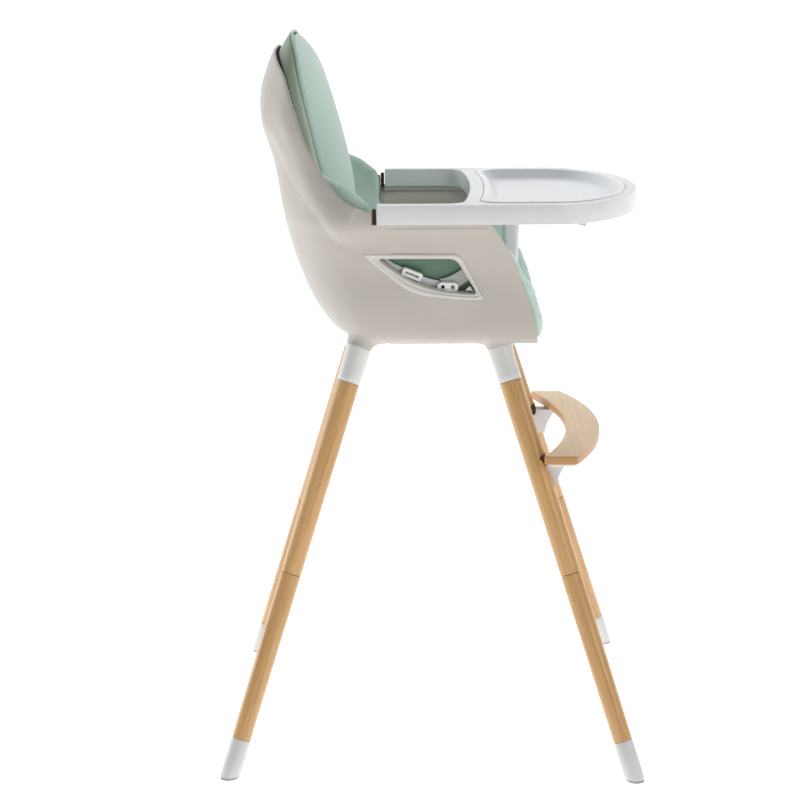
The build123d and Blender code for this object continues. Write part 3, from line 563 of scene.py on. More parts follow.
CORNER_SOFT, CORNER_PASSES = 48.0, 14
OPENING_OUTER = ((-82.0, 676.5), (39.0, 675.5), (70.0, 615.0), (20.0, 618.2), (-27.0, 630.0))
OPENING_INNER = ((-66.5, 670.5), (35.0, 670.0), (62.5, 621.0), (18.0, 625.5), (-26.0, 641.0))


def section_values(z):
    """Rear x, half width and corner depth at height z, smoothly between rows."""
    t = SEAT_SECTIONS
    i = int(min(max(np.searchsorted(t[:, 0], z) - 1, 0), len(t) - 2))
    z0, z1 = t[i, 0], t[i + 1, 0]
    h = z1 - z0
    s = (z - z0) / h
    slopes = []
    for k in (i, i + 1):
        a, b = max(k - 1, 0), min(k + 1, len(t) - 1)
        slopes.append((t[b, 1:] - t[a, 1:]) / (t[b, 0] - t[a, 0]))
    return ((2 * s ** 3 - 3 * s ** 2 + 1) * t[i, 1:] + (s ** 3 - 2 * s ** 2 + s) * h * slopes[0]
            + (3 * s ** 2 - 2 * s ** 3) * t[i + 1, 1:] + (s ** 3 - s ** 2) * h * slopes[1])


def half_section(z):
    """Dense half of a section from the middle of the back to the far front."""
    back, half, deep = section_values(z)
    wide = 0.8 * half
    angles = np.linspace(0.0, pi / 2, 60)
    corner = np.stack([back + deep - deep * np.cos(angles), half - wide + wide * np.sin(angles)], axis=1)
    return np.vstack([[(back, 0.0)], corner, [(200.0, half)]])


def lengths(path):
    return np.concatenate([[0.0], np.cumsum(np.linalg.norm(np.diff(path, axis=0), axis=1))])


def along_section(z, s):
    """(x, y) at distance s round the section from the middle of the back."""
    path = half_section(z)
    at = lengths(path)
    return np.interp(s, at, path[:, 0]), np.interp(s, at, path[:, 1])


def reach(z, x_end=None, y_end=None):
    """Distance round the section at which it reaches x_end or y_end."""
    path = half_section(z)
    at = lengths(path)
    s = at[-1]
    if x_end is not None:
        s = min(s, np.interp(x_end, path[:, 0], at))
    if y_end is not None:
        s = min(s, np.interp(y_end, path[:, 1], at))
    return s


def surface_y(x, z):
    path = half_section(z)
    return float(np.interp(x, path[:, 0], path[:, 1]))


def front_x(z):
    edge = smooth_path(FRONT_EDGE, 16)[::-1]
    return float(np.interp(z, edge[:, 1], edge[:, 0]))


def arch_half(z):
    if z <= ARCH_BASE:
        return 400.0
    share = min((z - ARCH_BASE) / (ARCH_TOP - ARCH_BASE), 0.99999)
    return ARCH_HALF * sqrt(1 - share ** 2)


def arch_height(y):
    return ARCH_BASE + (ARCH_TOP - ARCH_BASE) * sqrt(max(1 - (y / ARCH_HALF) ** 2, 0.0))


def shell_boundary():
    """The shell's edge from the armrest up to the side of the head arch."""
    rim = smooth_path(RIM_LINE[::-1], 12)
    points = [(ARM_REAR, ARM_TOP), (ARM_REAR, ARM_TOP + 6.0)] + [tuple(p) for p in rim]
    top = ARCH_BASE + (ARCH_TOP - ARCH_BASE) * sin(radians(46))
    kept = []
    for x, z in points:
        if z > top:
            break
        kept.append((x, z))
    kept.append((float(np.interp(top, rim[:, 1], rim[:, 0])), top))
    return resample(kept, UPPER_ROWS + 1)


LOWER_ROWS, UPPER_ROWS, SIDE_COLUMNS, BACK_COLUMNS = 44, 64, 40, 64


def shell_grid():
    """Half of the shell's outer surface: list of rows of (x, y, z), mm."""
    rows = []
    for j in range(LOWER_ROWS + 1):
        z = SEAT_BOTTOM + (ARM_TOP - SEAT_BOTTOM) * (j / LOWER_ROWS) ** 1.15
        s_side = reach(z, ARM_REAR)
        s_end = reach(z, front_x(z))
        stations = [s_side * u / BACK_COLUMNS for u in range(BACK_COLUMNS)]
        stations += [s_side + (s_end - s_side) * u / SIDE_COLUMNS for u in range(SIDE_COLUMNS + 1)]
        rows.append([(*along_section(z, s), z) for s in stations])
    edge = shell_boundary()
    ends = [reach(z, x, arch_half(z)) for x, z in edge]
    for j in range(1, UPPER_ROWS + 1):
        v = j / UPPER_ROWS
        base = ARM_TOP + (ARCH_TOP - ARM_TOP) * v
        z_end, s_end = edge[j][1], ends[j]
        row = []
        for u in range(BACK_COLUMNS + 1):
            share = u / BACK_COLUMNS
            z = base + (z_end - base) * share ** 2
            top_z = ARCH_TOP + (edge[-1][1] - ARCH_TOP) * share ** 2
            y_top = along_section(top_z, share * ends[-1])[1]
            z += (arch_height(y_top) - top_z) * v ** 3
            row.append((*along_section(z, share * s_end), z))
        rows.append(row)
    return rows


def smooth_step(share):
    share = np.clip(share, 0, 1)
    return 3 * share ** 2 - 2 * share ** 3


def distance_to_line(points, line):
    """Distance to a polyline, the side of it, and how far along it, for (n, 2) points."""
    best = np.full(len(points), 1e9)
    sign = np.zeros(len(points))
    along = np.zeros(len(points))
    at = lengths(line)
    for k in range(len(line) - 1):
        a, b = line[k], line[k + 1]
        d = b - a
        t = np.clip(((points - a) @ d) / (d @ d), 0, 1)
        near = a + t[:, None] * d
        gap = np.linalg.norm(points - near, axis=1)
        cross = d[0] * (points[:, 1] - a[1]) - d[1] * (points[:, 0] - a[0])
        closer = gap < best
        best[closer] = gap[closer]
        sign[closer] = np.sign(cross[closer])
        along[closer] = (at[k] + t * (at[k + 1] - at[k]))[closer] / at[-1]
    return best, sign, along


def opening_path(points, count=96):
    """Closed outline of a side opening: straight top and front, bowed bottom."""
    tip, top, corner, *bottom = [np.array(p) for p in points]

    def rounded(a, b, c, radius, steps=6):
        d0, d1 = (a - b) / np.linalg.norm(a - b), (c - b) / np.linalg.norm(c - b)
        p0, p1 = b + d0 * radius, b + d1 * radius
        return [(1 - t) ** 2 * p0 + 2 * t * (1 - t) * b + t ** 2 * p1 for t in np.linspace(0, 1, steps)]

    bow = smooth_path([corner, *bottom, tip], 10)
    path = rounded(tip, top, corner, 9.0) + rounded(top, corner, bow[6], 6.0)
    path += list(bow[7:-4]) + rounded(bow[-5], tip, top, 7.0)
    return resample(path, count, closed=True)


def inside(points, outline):
    """Which (n, 2) points lie inside a closed outline."""
    result = np.zeros(len(points), bool)
    x, y = points[:, 0], points[:, 1]
    n = len(outline)
    for i in range(n):
        x0, y0 = outline[i]
        x1, y1 = outline[(i + 1) % n]
        crosses = ((y0 > y) != (y1 > y)) & (x < (x1 - x0) * (y - y0) / (y1 - y0 + 1e-12) + x0)
        result ^= crosses
    return result


def grid_normals(verts, faces):
    mesh = mesh_from("probe", verts, faces)
    normals = np.array([tuple(v.normal) for v in mesh.vertices])
    bpy.data.meshes.remove(mesh)
    return normals


def soften_rim_corners(verts, faces, corners):
    """Evens out the sheet round the two points where the side rim meets the head arch."""
    count = {}
    for face in faces:
        for a, b in zip(face, face[1:] + face[:1]):
            key = (min(a, b), max(a, b))
            count[key] = count.get(key, 0) + 1
    free = {v for edge, uses in count.items() if uses == 1 for v in edge}
    edges = np.array([e for e, uses in count.items() if uses == 1 or not (e[0] in free or e[1] in free)])
    weight = np.max([np.clip(1 - np.linalg.norm(verts - verts[c], axis=1) / CORNER_SOFT, 0, 1)
                     for c in corners], axis=0)[:, None]
    return verts + (relaxed(verts, edges, CORNER_PASSES) - verts) * weight


def build_shell():
    """Outer sheet, inner sheet and rolled rim of the bucket, window holes included."""
    half = shell_grid()
    verts, index = [], []
    for row in half:
        line = []
        for x, y, z in reversed(row[1:]):
            line.append(len(verts))
            verts.append((x, -y, z))
        for x, y, z in row:
            line.append(len(verts))
            verts.append((x, y, z))
        index.append(line)
    verts = np.array(verts)
    faces = []
    for j in range(len(index) - 1):
        low, high = index[j], index[j + 1]
        if len(low) != len(high):
            low = low[SIDE_COLUMNS:-SIDE_COLUMNS]
        for i in range(len(low) - 1):
            faces.append((low[i], low[i + 1], high[i + 1], high[i]))
    verts = soften_rim_corners(verts, faces, (index[-1][0], index[-1][-1]))
    normals = grid_normals(verts, faces)
    middle = np.array((-40.0, 0.0, 740.0))
    if np.mean(np.sum(normals * (verts - middle), axis=1)) < 0:
        faces = [tuple(reversed(f)) for f in faces]
        normals = -normals

    # Flared wing: rises sharply from its line towards the rim, and fades to the back and the head.
    line = smooth_path(WING_LINE, 8)
    gap, side, along = distance_to_line(verts[:, [0, 2]], line)
    fade = np.clip((1.0 - along) / 0.35, 0, 1)
    fade *= smooth_step((WING_HEAD - verts[:, 2]) / (WING_HEAD - WING_LINE[0][1]))
    fade *= smooth_step((np.abs(verts[:, 1]) - WING_BACK) / WING_BACK)
    rise = np.where(side < 0, 0.0, WING_SWELL * (1 - np.exp(-gap / WING_RISE)))
    verts = verts + normals * (rise * fade)[:, None]
    normals = grid_normals(verts, faces)
    inner = verts - normals * SHELL_WALL

    # Window holes: drop the faces inside the outline, pull the ragged edge onto it.
    outline = opening_path(OPENING_OUTER)
    centres = np.array([verts[list(f)].mean(axis=0) for f in faces])
    hole = inside(centres[:, [0, 2]], outline) & (np.abs(centres[:, 1]) > 120)
    kept = [f for f, gone in zip(faces, hole) if not gone]
    gone_verts = {v for f, gone in zip(faces, hole) if gone for v in f}
    edge_verts = sorted(gone_verts & {v for f in kept for v in f})
    for v in edge_verts:
        p = verts[v][[0, 2]]
        near = outline[np.argmin(np.linalg.norm(outline - p, axis=1))]
        for grid in (verts, inner):
            grid[v][0] += near[0] - p[0]
            grid[v][2] += near[1] - p[1]

    count = len(verts)
    all_verts = list(verts) + list(inner)
    all_faces = list(kept) + [tuple(v + count for v in reversed(f)) for f in kept]
    sides = {}
    for f in kept:
        for a, b in zip(f, f[1:] + f[:1]):
            sides[(a, b)] = True
    on_hole = set(edge_verts)
    for a, b in sides:
        if (b, a) not in sides and a in on_hole and b in on_hole:
            all_faces.append((b, a, a + count, b + count))

    # Rolled rim round the free edge, from one front corner over the head to the other.
    loop = [index[j][0] for j in range(LOWER_ROWS + 1)]
    loop += [index[LOWER_ROWS][i] for i in range(1, SIDE_COLUMNS + 1)]
    loop += [index[j][0] for j in range(LOWER_ROWS + 1, len(index))]
    loop += index[-1][1:]
    loop += [index[j][-1] for j in range(len(index) - 2, LOWER_ROWS, -1)]
    loop += [index[LOWER_ROWS][i] for i in range(-SIDE_COLUMNS - 1, 0)]
    loop += [index[j][-1] for j in range(LOWER_ROWS - 1, -1, -1)]
    outer_edge = verts[loop]
    inner_edge = inner[loop]
    tangents = np.gradient(outer_edge, axis=0)
    tangents /= np.linalg.norm(tangents, axis=1)[:, None]
    outward = np.cross(tangents, normals[loop])
    neighbour = outer_edge - outward
    if np.mean([np.linalg.norm(neighbour[k] - middle) for k in range(len(loop))]) > np.mean(
            [np.linalg.norm(outer_edge[k] - middle) for k in range(len(loop))]):
        outward = -outward
    centre = (outer_edge + inner_edge) / 2
    rise = (outer_edge - inner_edge) / 2
    previous = loop
    for angle in (30, 60, 90, 120, 150):
        a = radians(angle)
        ring = centre + rise * cos(a) * RIM_BULGE + outward * sin(a) * SHELL_WALL / 2 * RIM_BULGE
        start = len(all_verts)
        all_verts += list(ring)
        current = list(range(start, start + len(loop)))
        for k in range(len(loop) - 1):
            all_faces.append((previous[k], previous[k + 1], current[k + 1], current[k]))
        previous = current
    last = [v + count for v in loop]
    for k in range(len(loop) - 1):
        all_faces.append((previous[k], previous[k + 1], last[k + 1], last[k]))

    # Underside and seat floor close the bottom row.
    ring = index[0]
    all_faces.append(tuple(ring))
    floor_ring = [v + count for v in index[1]]
    all_faces.append(tuple(floor_ring))
    front = [index[0][0], index[0][-1], index[1][-1], index[1][0]]
    all_faces.append((front[0], front[1], front[2] + count, front[3] + count))
    mesh = mesh_from("seat_shell_form", np.array(all_verts) * MM, all_faces)
    face_outwards(mesh)
    mesh.shade_smooth()
    mesh.set_sharp_from_angle(angle=radians(48))
    outer_tree = BVHTree.FromPolygons([tuple(v * MM) for v in verts], faces)
    first = LOWER_ROWS + 1 + SIDE_COLUMNS
    upper = slice(first, len(loop) - first)
    return mesh, outer_tree, (inner_edge[upper], normals[loop][upper], outward[upper])


def add_bosses(outer_tree, mats):
    """Widely flared bosses that run from the shell's underside down to the leg sockets."""
    segments, steps = 72, 18
    verts, faces = [], []
    for row in ROWS:
        for side in SIDES:
            base = leg_point(row, side, SOCKET_TOP)
            up = (leg_point(row, side, LEG_TOP[2]) - leg_point(row, side, 0.0)).normalized()
            across = Vector((0, 1, 0)).cross(up).normalized()
            other = up.cross(across)
            under = leg_point(row, side, SEAT_BOTTOM - 0.2)
            start_point = leg_point(row, side, 580.0)
            rings = [[] for _ in range(steps + 1)]
            for i in range(segments):
                a = 2 * pi * i / segments
                direction = across * cos(a) + other * sin(a)
                start = base + direction * 0.0163
                level = Vector((direction.x, direction.y, 0.0)).normalized()
                target = under + level * (BOSS_SPREAD + BOSS_LEAN * level.x)
                way = target - start_point
                hit, normal, _, _ = outer_tree.ray_cast(start_point, way.normalized(), way.length)
                if hit is None:
                    hit, normal = target, Vector((0, 0, -1))
                inwards = start_point - hit
                inwards -= normal * inwards.dot(normal)
                span = (hit - start).length
                handle_end = hit + inwards.normalized() * 0.48 * span
                handle_start = start + up * 0.34 * span
                for k in range(steps + 1):
                    t = k / steps
                    p = ((1 - t) ** 3 * start + 3 * t * (1 - t) ** 2 * handle_start
                         + 3 * t ** 2 * (1 - t) * handle_end + t ** 3 * hit)
                    rings[k].append(tuple(p))
            lip = [tuple(Vector(p) - up * 0.0005 - (Vector(p) - base).normalized() * 0.0008)
                   for p in rings[0]]
            some_verts, some_faces = loft_rings([lip] + rings, caps=False)
            faces += [tuple(v + len(verts) for v in f) for f in some_faces]
            verts += list(some_verts)
    mesh = mesh_from("leg_bosses_form", verts, faces)
    add_object("leg_bosses_form", mesh, mats["shell"], replaces=["leg_bosses"])


def add_window_trim(mats):
    """Raised ring round each side opening, with a step along it."""
    outer = opening_path(OPENING_OUTER)
    inner = opening_path(OPENING_INNER)
    # Match the two outlines by angle about the opening's middle.
    centre = inner.mean(axis=0)
    angle = np.unwrap(np.arctan2(*(outer - centre).T[::-1]))
    dense = resample(inner, 1200, closed=True)
    dense_angle = np.arctan2(*(dense - centre).T[::-1])
    matched = []
    for a in angle:
        off = np.angle(np.exp(1j * (dense_angle - a)))
        matched.append(dense[np.argmin(np.abs(off))])
    matched = np.array(matched)
    profile = ((-0.20, -1.5), (-0.17, 0.3), (-0.10, 1.3), (0.02, 1.9), (0.22, 2.1), (0.44, 1.9), (0.52, 1.2),
               (0.60, 0.9), (0.70, 1.3), (0.86, 1.3), (0.97, 0.7), (1.02, -0.6), (1.03, -4.0), (1.03, -12.0),
               (0.85, -12.4))
    for name, side in SIDES.items():
        rings = []
        for share, height in profile:
            ring = []
            for a, b in zip(outer, matched):
                x, z = a + (b - a) * share
                y = surface_y(x, z)
                slope = (surface_y(x, z + 1) - surface_y(x, z - 1)) / 2
                turn = (surface_y(x + 1, z) - surface_y(x - 1, z)) / 2
                normal = np.array((-turn, 1.0, -slope))
                normal /= np.linalg.norm(normal)
                p = np.array((x, y, z)) + normal * height
                ring.append((p[0] * MM, side * p[1] * MM, p[2] * MM))
            rings.append(ring)
        verts, faces = loft_rings(rings, caps=False)
        mesh = mesh_from(f"opening_trim_{name}_form", verts, faces)
        face_outwards(mesh)
        mesh.shade_smooth()
        add_object(f"opening_trim_{name}_form", mesh, mats["trim"],
                   replaces=[f"opening_trim_{name}"])


def add_shell(mats):
    mesh, outer_tree, rim = build_shell()
    add_object("seat_shell_form", mesh, mats["shell"], replaces=["seat_shell"])
    add_bosses(outer_tree, mats)
    add_window_trim(mats)
    for name, side in SIDES.items():
        section = ((201.5, 711.5), (202.0, 711.0), (209.5, 711.0), (209.5, 716.8), (202.0, 716.8),
                   (201.5, 716.3))
        rings = [[(x * MM, side * (y - fade) * MM, z * MM) for y, z in section]
                 for x, fade in ((-64.0, 1.0), (-62.0, 0.0), (70.0, 0.0), (74.0, 1.0))]
        ledge = mesh_from(f"armrest_ledge_{name}", *loft_rings(rings), sharp=30)
        add_object(f"armrest_ledge_{name}", ledge, mats["shell"])
    return outer_tree, rim


# ------------------------------------------------------------------ cushions
def neighbours(mesh):
    edges = np.empty(len(mesh.edges) * 2, np.int64)
    mesh.edges.foreach_get("vertices", edges)
    return edges.reshape(-1, 2)


def coordinates(mesh):
    co = np.empty(len(mesh.vertices) * 3)
    mesh.vertices.foreach_get("co", co)
    return co.reshape(-1, 3)


def set_coordinates(mesh, co):
    mesh.vertices.foreach_set("co", np.asarray(co, float).ravel())
    mesh.update()


def relaxed(co, edges, times, share=0.5):
    degree = np.bincount(edges.ravel(), minlength=len(co))[:, None]
    for _ in range(times):
        total = np.zeros_like(co)
        np.add.at(total, edges[:, 0], co[edges[:, 1]])
        np.add.at(total, edges[:, 1], co[edges[:, 0]])
        co = co + share * (total / degree - co)
    return co


HEAD_FREE_Z, SHELL_REACH = 0.936, 0.03


def keep_within_shell(co, outer_tree, depth):
    """Moves points that come nearer than depth to the shell's outer face back inside."""
    for k, p in enumerate(co):
        if p[2] > HEAD_FREE_Z:
            continue
        near, normal, _, gap = outer_tree.find_nearest(Vector(p))
        if near is None:
            continue
        inward = (Vector(p) - near).dot(-normal)
        if inward < depth and gap < SHELL_REACH:
            co[k] = tuple(Vector(p) - normal * (depth - inward))
    return co


CLOTH_FRAMES = 20


def plump(node, outer_tree, voxel=0.005, cap=0.008, pressure=4.0, soften=8, shrink=0.0015, depth=0.0048):
    """A cushion from its CAD solid: remeshed, softened, then inflated as cloth."""
    obj = new_object(f"{node}_cushion", NODES[node].data.copy())
    remesh = obj.modifiers.new("remesh", "REMESH")
    remesh.mode = "VOXEL"
    remesh.voxel_size = voxel
    baked(obj)
    mesh = obj.data
    edges = neighbours(mesh)
    co = relaxed(coordinates(mesh), edges, soften)
    set_coordinates(mesh, co)
    normals = np.array([tuple(v.normal) for v in mesh.vertices])
    co = co - normals * shrink
    set_coordinates(mesh, co)
    start = coordinates(mesh)
    cloth = obj.modifiers.new("cloth", "CLOTH")
    cloth.settings.quality = 6
    cloth.settings.mass = 0.3
    cloth.settings.tension_stiffness = 12
    cloth.settings.compression_stiffness = 12
    cloth.settings.shear_stiffness = 6
    cloth.settings.bending_stiffness = 1.2
    cloth.settings.use_pressure = True
    cloth.settings.uniform_pressure_force = pressure
    cloth.settings.effector_weights.gravity = 0.0
    cloth.point_cache.frame_start, cloth.point_cache.frame_end = 1, CLOTH_FRAMES
    for step in range(1, CLOTH_FRAMES + 1):
        bpy.context.scene.frame_set(step)
    baked(obj)
    bpy.context.scene.frame_set(1)
    mesh = obj.data
    moved = coordinates(mesh) - start
    size = np.linalg.norm(moved, axis=1)[:, None]
    moved = moved * np.minimum(1.0, cap / np.maximum(size, 1e-9))
    co = start + relaxed(moved, neighbours(mesh), 3)
    co = keep_within_shell(co, outer_tree, depth)
    set_coordinates(mesh, co)
    sub = obj.modifiers.new("sub", "SUBSURF")
    sub.levels = 1
    baked(obj)
    obj.data.shade_smooth()
    return obj


def groove(obj, paths, depth, width):
    """Presses sewn lines into a cushion along paths given in metres."""
    mesh = obj.data
    co = coordinates(mesh)
    normals = np.array([tuple(v.normal) for v in mesh.vertices])
    push = np.zeros(len(co))
    for path in paths:
        path = np.array(path, float)
        for a, b in zip(path[:-1], path[1:]):
            d = b - a
            t = np.clip(((co - a) @ d) / max(d @ d, 1e-12), 0, 1)
            gap = np.linalg.norm(co - (a + t[:, None] * d), axis=1)
            push = np.maximum(push, np.exp(-(gap / width) ** 2))
    set_coordinates(mesh, co - normals * (push * depth)[:, None])


def on_surface(obj, points, lift=0.0):
    """Points dropped onto a cushion's surface, lifted by a little."""
    tree = BVHTree.FromObject(obj, bpy.context.evaluated_depsgraph_get())
    out = []
    for p in points:
        near, normal, _, _ = tree.find_nearest(Vector(p))
        out.append(tuple(near + normal * lift))
    return np.array(out)


def stitches(name, path, mats, length=0.0034, gap=0.0018, radius=0.00045):
    """A row of short threads along a path."""
    path = resample(path, max(int(lengths(np.array(path))[-1] / 0.0009), 8))
    at = lengths(path)
    verts, faces = [], []
    start = 0.0
    while start + length < at[-1]:
        line = [np.array([np.interp(start + length * k / 4, at, path[:, j]) for j in range(3)])
                for k in range(5)]
        tangent = line[-1] - line[0]
        tangent /= np.linalg.norm(tangent)
        ref = np.cross(tangent, (0.0, 0.3, 0.95))
        ref /= np.linalg.norm(ref)
        other = np.cross(tangent, ref)
        base = len(verts)
        for k, p in enumerate(line):
            r = radius * (0.35, 0.9, 1.0, 0.9, 0.35)[k]
            for i in range(5):
                a = 2 * pi * i / 5
                verts.append(tuple(p + r * (cos(a) * ref + sin(a) * other)))
        for k in range(4):
            for i in range(5):
                j = (i + 1) % 5
                near, far = base + k * 5, base + (k + 1) * 5
                faces.append((near + i, near + j, far + j, far + i))
        start += length + gap
    return add_object(name, mesh_from(name, verts, faces), mats["thread"])


def second_finish(obj, material, test):
    """Gives the faces whose middle passes the test a second material."""
    obj.data.materials.append(material)
    for polygon in obj.data.polygons:
        if test(polygon.center):
            polygon.material_index = 1


def dress(obj, material, nodes):
    obj.data.materials.clear()
    obj.data.materials.append(material)
    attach(obj, "chair")
    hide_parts(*nodes)


BAND_LOW, BAND_STATIONS, BAND_STEPS, RIM_GAP_SHADE_WIDTH = 778.0, 150, 12, 0.0052
WELT_RADIUS, LINER_DROP = 0.0021, 0.016
# Patch of the side pads, as (x range, z range) in metres, that is painted dark green as shade seen through
# the window.
WINDOW_SHADE_PATCH = ((-0.097, 0.09), (0.596, 0.692))
PAD_EDGE = ((598.0, -122.0, 112.0), (677.0, -126.0, 116.0), (757.0, -132.0, 120.0), (797.0, -141.0, 120.0),
            (843.0, -151.0, 117.0), (882.0, -160.0, 108.0), (908.0, -165.0, 94.0), (932.0, -170.0, 70.0),
            (944.0, -174.0, 38.0))


def add_liner_band(rim, edge, mats):
    """Padded band between the shell's rim and the back pad's seam, over the head and down both sides."""
    inner, normals, outward = rim
    kept = [k for k, p in enumerate(inner) if p[2] > BAND_LOW]
    count = BAND_STATIONS
    rims = resample(inner[kept] * MM, count)
    inward = -resample(normals[kept], count)
    onward = resample(outward[kept], count)
    seam = edge[edge[:, 2] > BAND_LOW * MM]
    if (seam[0][1] > 0) != (rims[0][1] > 0):
        seam = seam[::-1]
    seam = resample(seam, count)
    rings = []
    for k in range(count):
        taper = min(1.0, min(k, count - 1 - k) / 12)
        near = rims[k] + inward[k] * 0.0026
        far = seam[k] + np.array((-0.0035, 0.0, 0.0)) - np.array((0.0, seam[k][1], 0.0)) * 0.03
        ring = [near - onward[k] * 0.016]
        for j in range(BAND_STEPS + 1):
            w = j / BAND_STEPS
            head = min(max((near[2] - 0.895) / 0.035, 0.0), 1.0)
            swell = ((0.0065 + 0.008 * head) * sin(pi * w ** 0.75) - 0.0045 * (1 - w) ** 3) * taper
            ring.append(near + (far - near) * w + onward[k] * swell)
        ring.append(far - onward[k] * 0.012)
        rings.append([tuple(p) for p in ring])
    verts, faces = loft_rings(rings)
    band = new_object("back_liner_band", mesh_from("back_liner_band", verts, faces, sharp=50))
    band.data.materials.append(mats["liner"])
    # Faces of the band within a few mm of the rim get the near-black finish: painted shade for the gap under
    # the rim lip.
    second_finish(band, mats["edging"], lambda p: min(
        (p - Vector(rims[k])).length for k in range(0, count, 2)) < RIM_GAP_SHADE_WIDTH)
    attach(band, "chair")


def add_cushions(outer_tree, rim, mats):
    liner = plump("back_liner", outer_tree, cap=0.0005, soften=6, shrink=0.003, depth=0.008)
    co = coordinates(liner.data)
    co[:, 2] -= LINER_DROP * np.clip((co[:, 2] - 0.87) / 0.05, 0, 1)
    set_coordinates(liner.data, co)
    dress(liner, mats["liner"], ["back_liner"])

    back = plump("back_pad", outer_tree, cap=0.0015, soften=3, shrink=0.0005)
    half = [(x, y, z) for z, x, y in PAD_EDGE]
    loop = half + [(-175.5, 0.0, 946.5)] + [(x, -y, z) for x, y, z in reversed(half)]
    edge = resample(smooth_path(np.array(loop) * MM, 8), 240)
    add_liner_band(rim, edge, mats)
    co = coordinates(back.data)
    seam_z, seam_at = [z * MM for z, _, _ in PAD_EDGE], [x * MM for _, x, _ in PAD_EDGE]
    seam_x = np.interp(co[:, 2], seam_z, seam_at)
    behind = np.clip((seam_x - co[:, 0] - 0.002) / 0.004, 0, 1)
    co[:, 1] *= 1 - 0.05 * behind
    rise = np.clip((co[:, 2] - 0.90) / 0.045, 0, 1)
    co[:, 2] -= 0.0022 * rise
    set_coordinates(back.data, co)
    groove(back, [edge - (0.003, 0.0, 0.0)], 0.0022, 0.0025)
    seam_stitches = edge + (0.0032, 0.0, 0.0) - edge * (0.0, 0.03, 0.0)
    dress(back, mats["mint"], ["back_pad"])
    second_finish(back, mats["liner"], lambda p: p[0] < np.interp(p[2], seam_z, seam_at) - 0.0022)
    welt = tube("back_pad_piping", edge * (1.0, 1.014, 1.0) - (0.0016, 0.0, 0.0), WELT_RADIUS)
    add_object("back_pad_piping", welt, mats["piping"])
    stitches("back_pad_stitches", on_surface(back, seam_stitches, 0.0002), mats)

    seat = plump("seat_pad", outer_tree, cap=0.003, soften=5, shrink=0.0005)
    seams = [on_surface(seat, [(x, y, 0.62) for x in np.linspace(-0.08, 0.135, 40)]) for y in (-0.08, 0.08)]
    groove(seat, seams, 0.0022, 0.0035)
    dress(seat, mats["mint"], ["seat_pad"])
    for k, seam in enumerate(seams):
        stitches(f"seat_pad_stitches_{k}", on_surface(seat, seam, 0.0003), mats)

    for name in SIDES:
        pad = plump(f"side_pad_{name}", outer_tree, voxel=0.0045, cap=0.003, soften=4, shrink=0.0005)
        dress(pad, mats["mint"], [f"side_pad_{name}"])
        # Outward faces of the pad inside the window take the dark green: painted shade for the shaded inside
        # of the bucket.
        pad.data.materials.append(mats["backing"])
        for polygon in pad.data.polygons:
            p = polygon.center
            outward = polygon.normal.y * SIDES[name] > 0.3
            (rear, front), (low, high) = WINDOW_SHADE_PATCH
            if outward and low < p.z < high and rear < p.x < front:
                polygon.material_index = 1


# ------------------------------------------------------------------ harness
STRAP_Y, STRAP_Z, STRAP_LEAN = 160.5, 637.0, radians(17.0)


def lean(x, z, off, side):
    """A point of the leaning plane of the waist straps, in metres."""
    up = z - STRAP_Z
    return (x * MM, side * (STRAP_Y + up * sin(STRAP_LEAN) + off * cos(STRAP_LEAN)) * MM,
            (STRAP_Z + up * cos(STRAP_LEAN) - off * sin(STRAP_LEAN)) * MM)


def ribbon(name, low, high, thick, place):
    """Webbing between two edge lines; place(x, z, off) gives a point in metres."""
    low = resample(smooth_path(low, 6), 90)
    high = resample(smooth_path(high, 6), 90)
    across = ((0.0, 0.0), (0.03, 0.42), (0.08, 0.5), (0.5, 0.44), (0.92, 0.5), (0.97, 0.42), (1.0, 0.0))
    section = list(across) + [(u, -v) for u, v in reversed(across[1:-1])]
    at = lengths((low + high) / 2)
    rings = []
    for k in range(len(low)):
        wave = 0.25 * sin(at[k] / 9.0)
        ring = []
        for u, v in section:
            x, z = low[k] + (high[k] - low[k]) * u
            ring.append(place(x, z, v * thick + wave))
        rings.append(ring)
    verts, faces = loft_rings(rings)
    mesh = mesh_from(name, verts, faces, sharp=60)
    layer = mesh.uv_layers.new(name="UVMap")
    width = np.linalg.norm(high[0] - low[0])
    for polygon in mesh.polygons:
        for loop in polygon.loop_indices:
            v = mesh.loops[loop].vertex_index
            k, i = divmod(v, len(section))
            layer.data[loop].uv = (at[k] * MM, section[i][0] * width * MM)
    return mesh


def frame_plate(name, outer, holes, thick, place, edge=0.8):
    """Flat moulded plate with holes and rounded edges; outlines in its own plane."""
    work = bmesh.new()
    loops = []
    for path in [outer] + holes:
        ring = [work.verts.new((p[0], 0.0, p[1])) for p in path]
        loops.append([work.edges.new((ring[i], ring[(i + 1) % len(ring)])) for i in range(len(ring))])
    edges = [e for loop in loops for e in loop]
    bmesh.ops.triangle_fill(work, use_beauty=True, use_dissolve=False, edges=edges)
    faces = work.faces[:]
    made = bmesh.ops.extrude_face_region(work, geom=faces)
    moved = [v for v in made["geom"] if isinstance(v, bmesh.types.BMVert)]
    for v in moved:
        v.co.y += thick
    for v in work.verts:
        v.co.y -= thick / 2
    bmesh.ops.recalc_face_normals(work, faces=work.faces)
    bmesh.ops.dissolve_limit(work, angle_limit=radians(1), verts=work.verts, edges=work.edges)
    hard = [e for e in work.edges if len(e.link_faces) == 2 and e.calc_face_angle() > radians(50)]
    bmesh.ops.bevel(work, geom=hard, offset=edge, segments=3, profile=0.5, affect="EDGES", clamp_overlap=True)
    bmesh.ops.triangulate(work, faces=[f for f in work.faces if len(f.verts) > 4])
    for v in work.verts:
        v.co = Vector(place(v.co.x, v.co.z, v.co.y))
    bmesh.ops.recalc_face_normals(work, faces=work.faces)
    mesh = bpy.data.meshes.new(name)
    work.to_mesh(mesh)
    work.free()
    mesh.shade_smooth()
    mesh.set_sharp_from_angle(angle=radians(50))
    return mesh


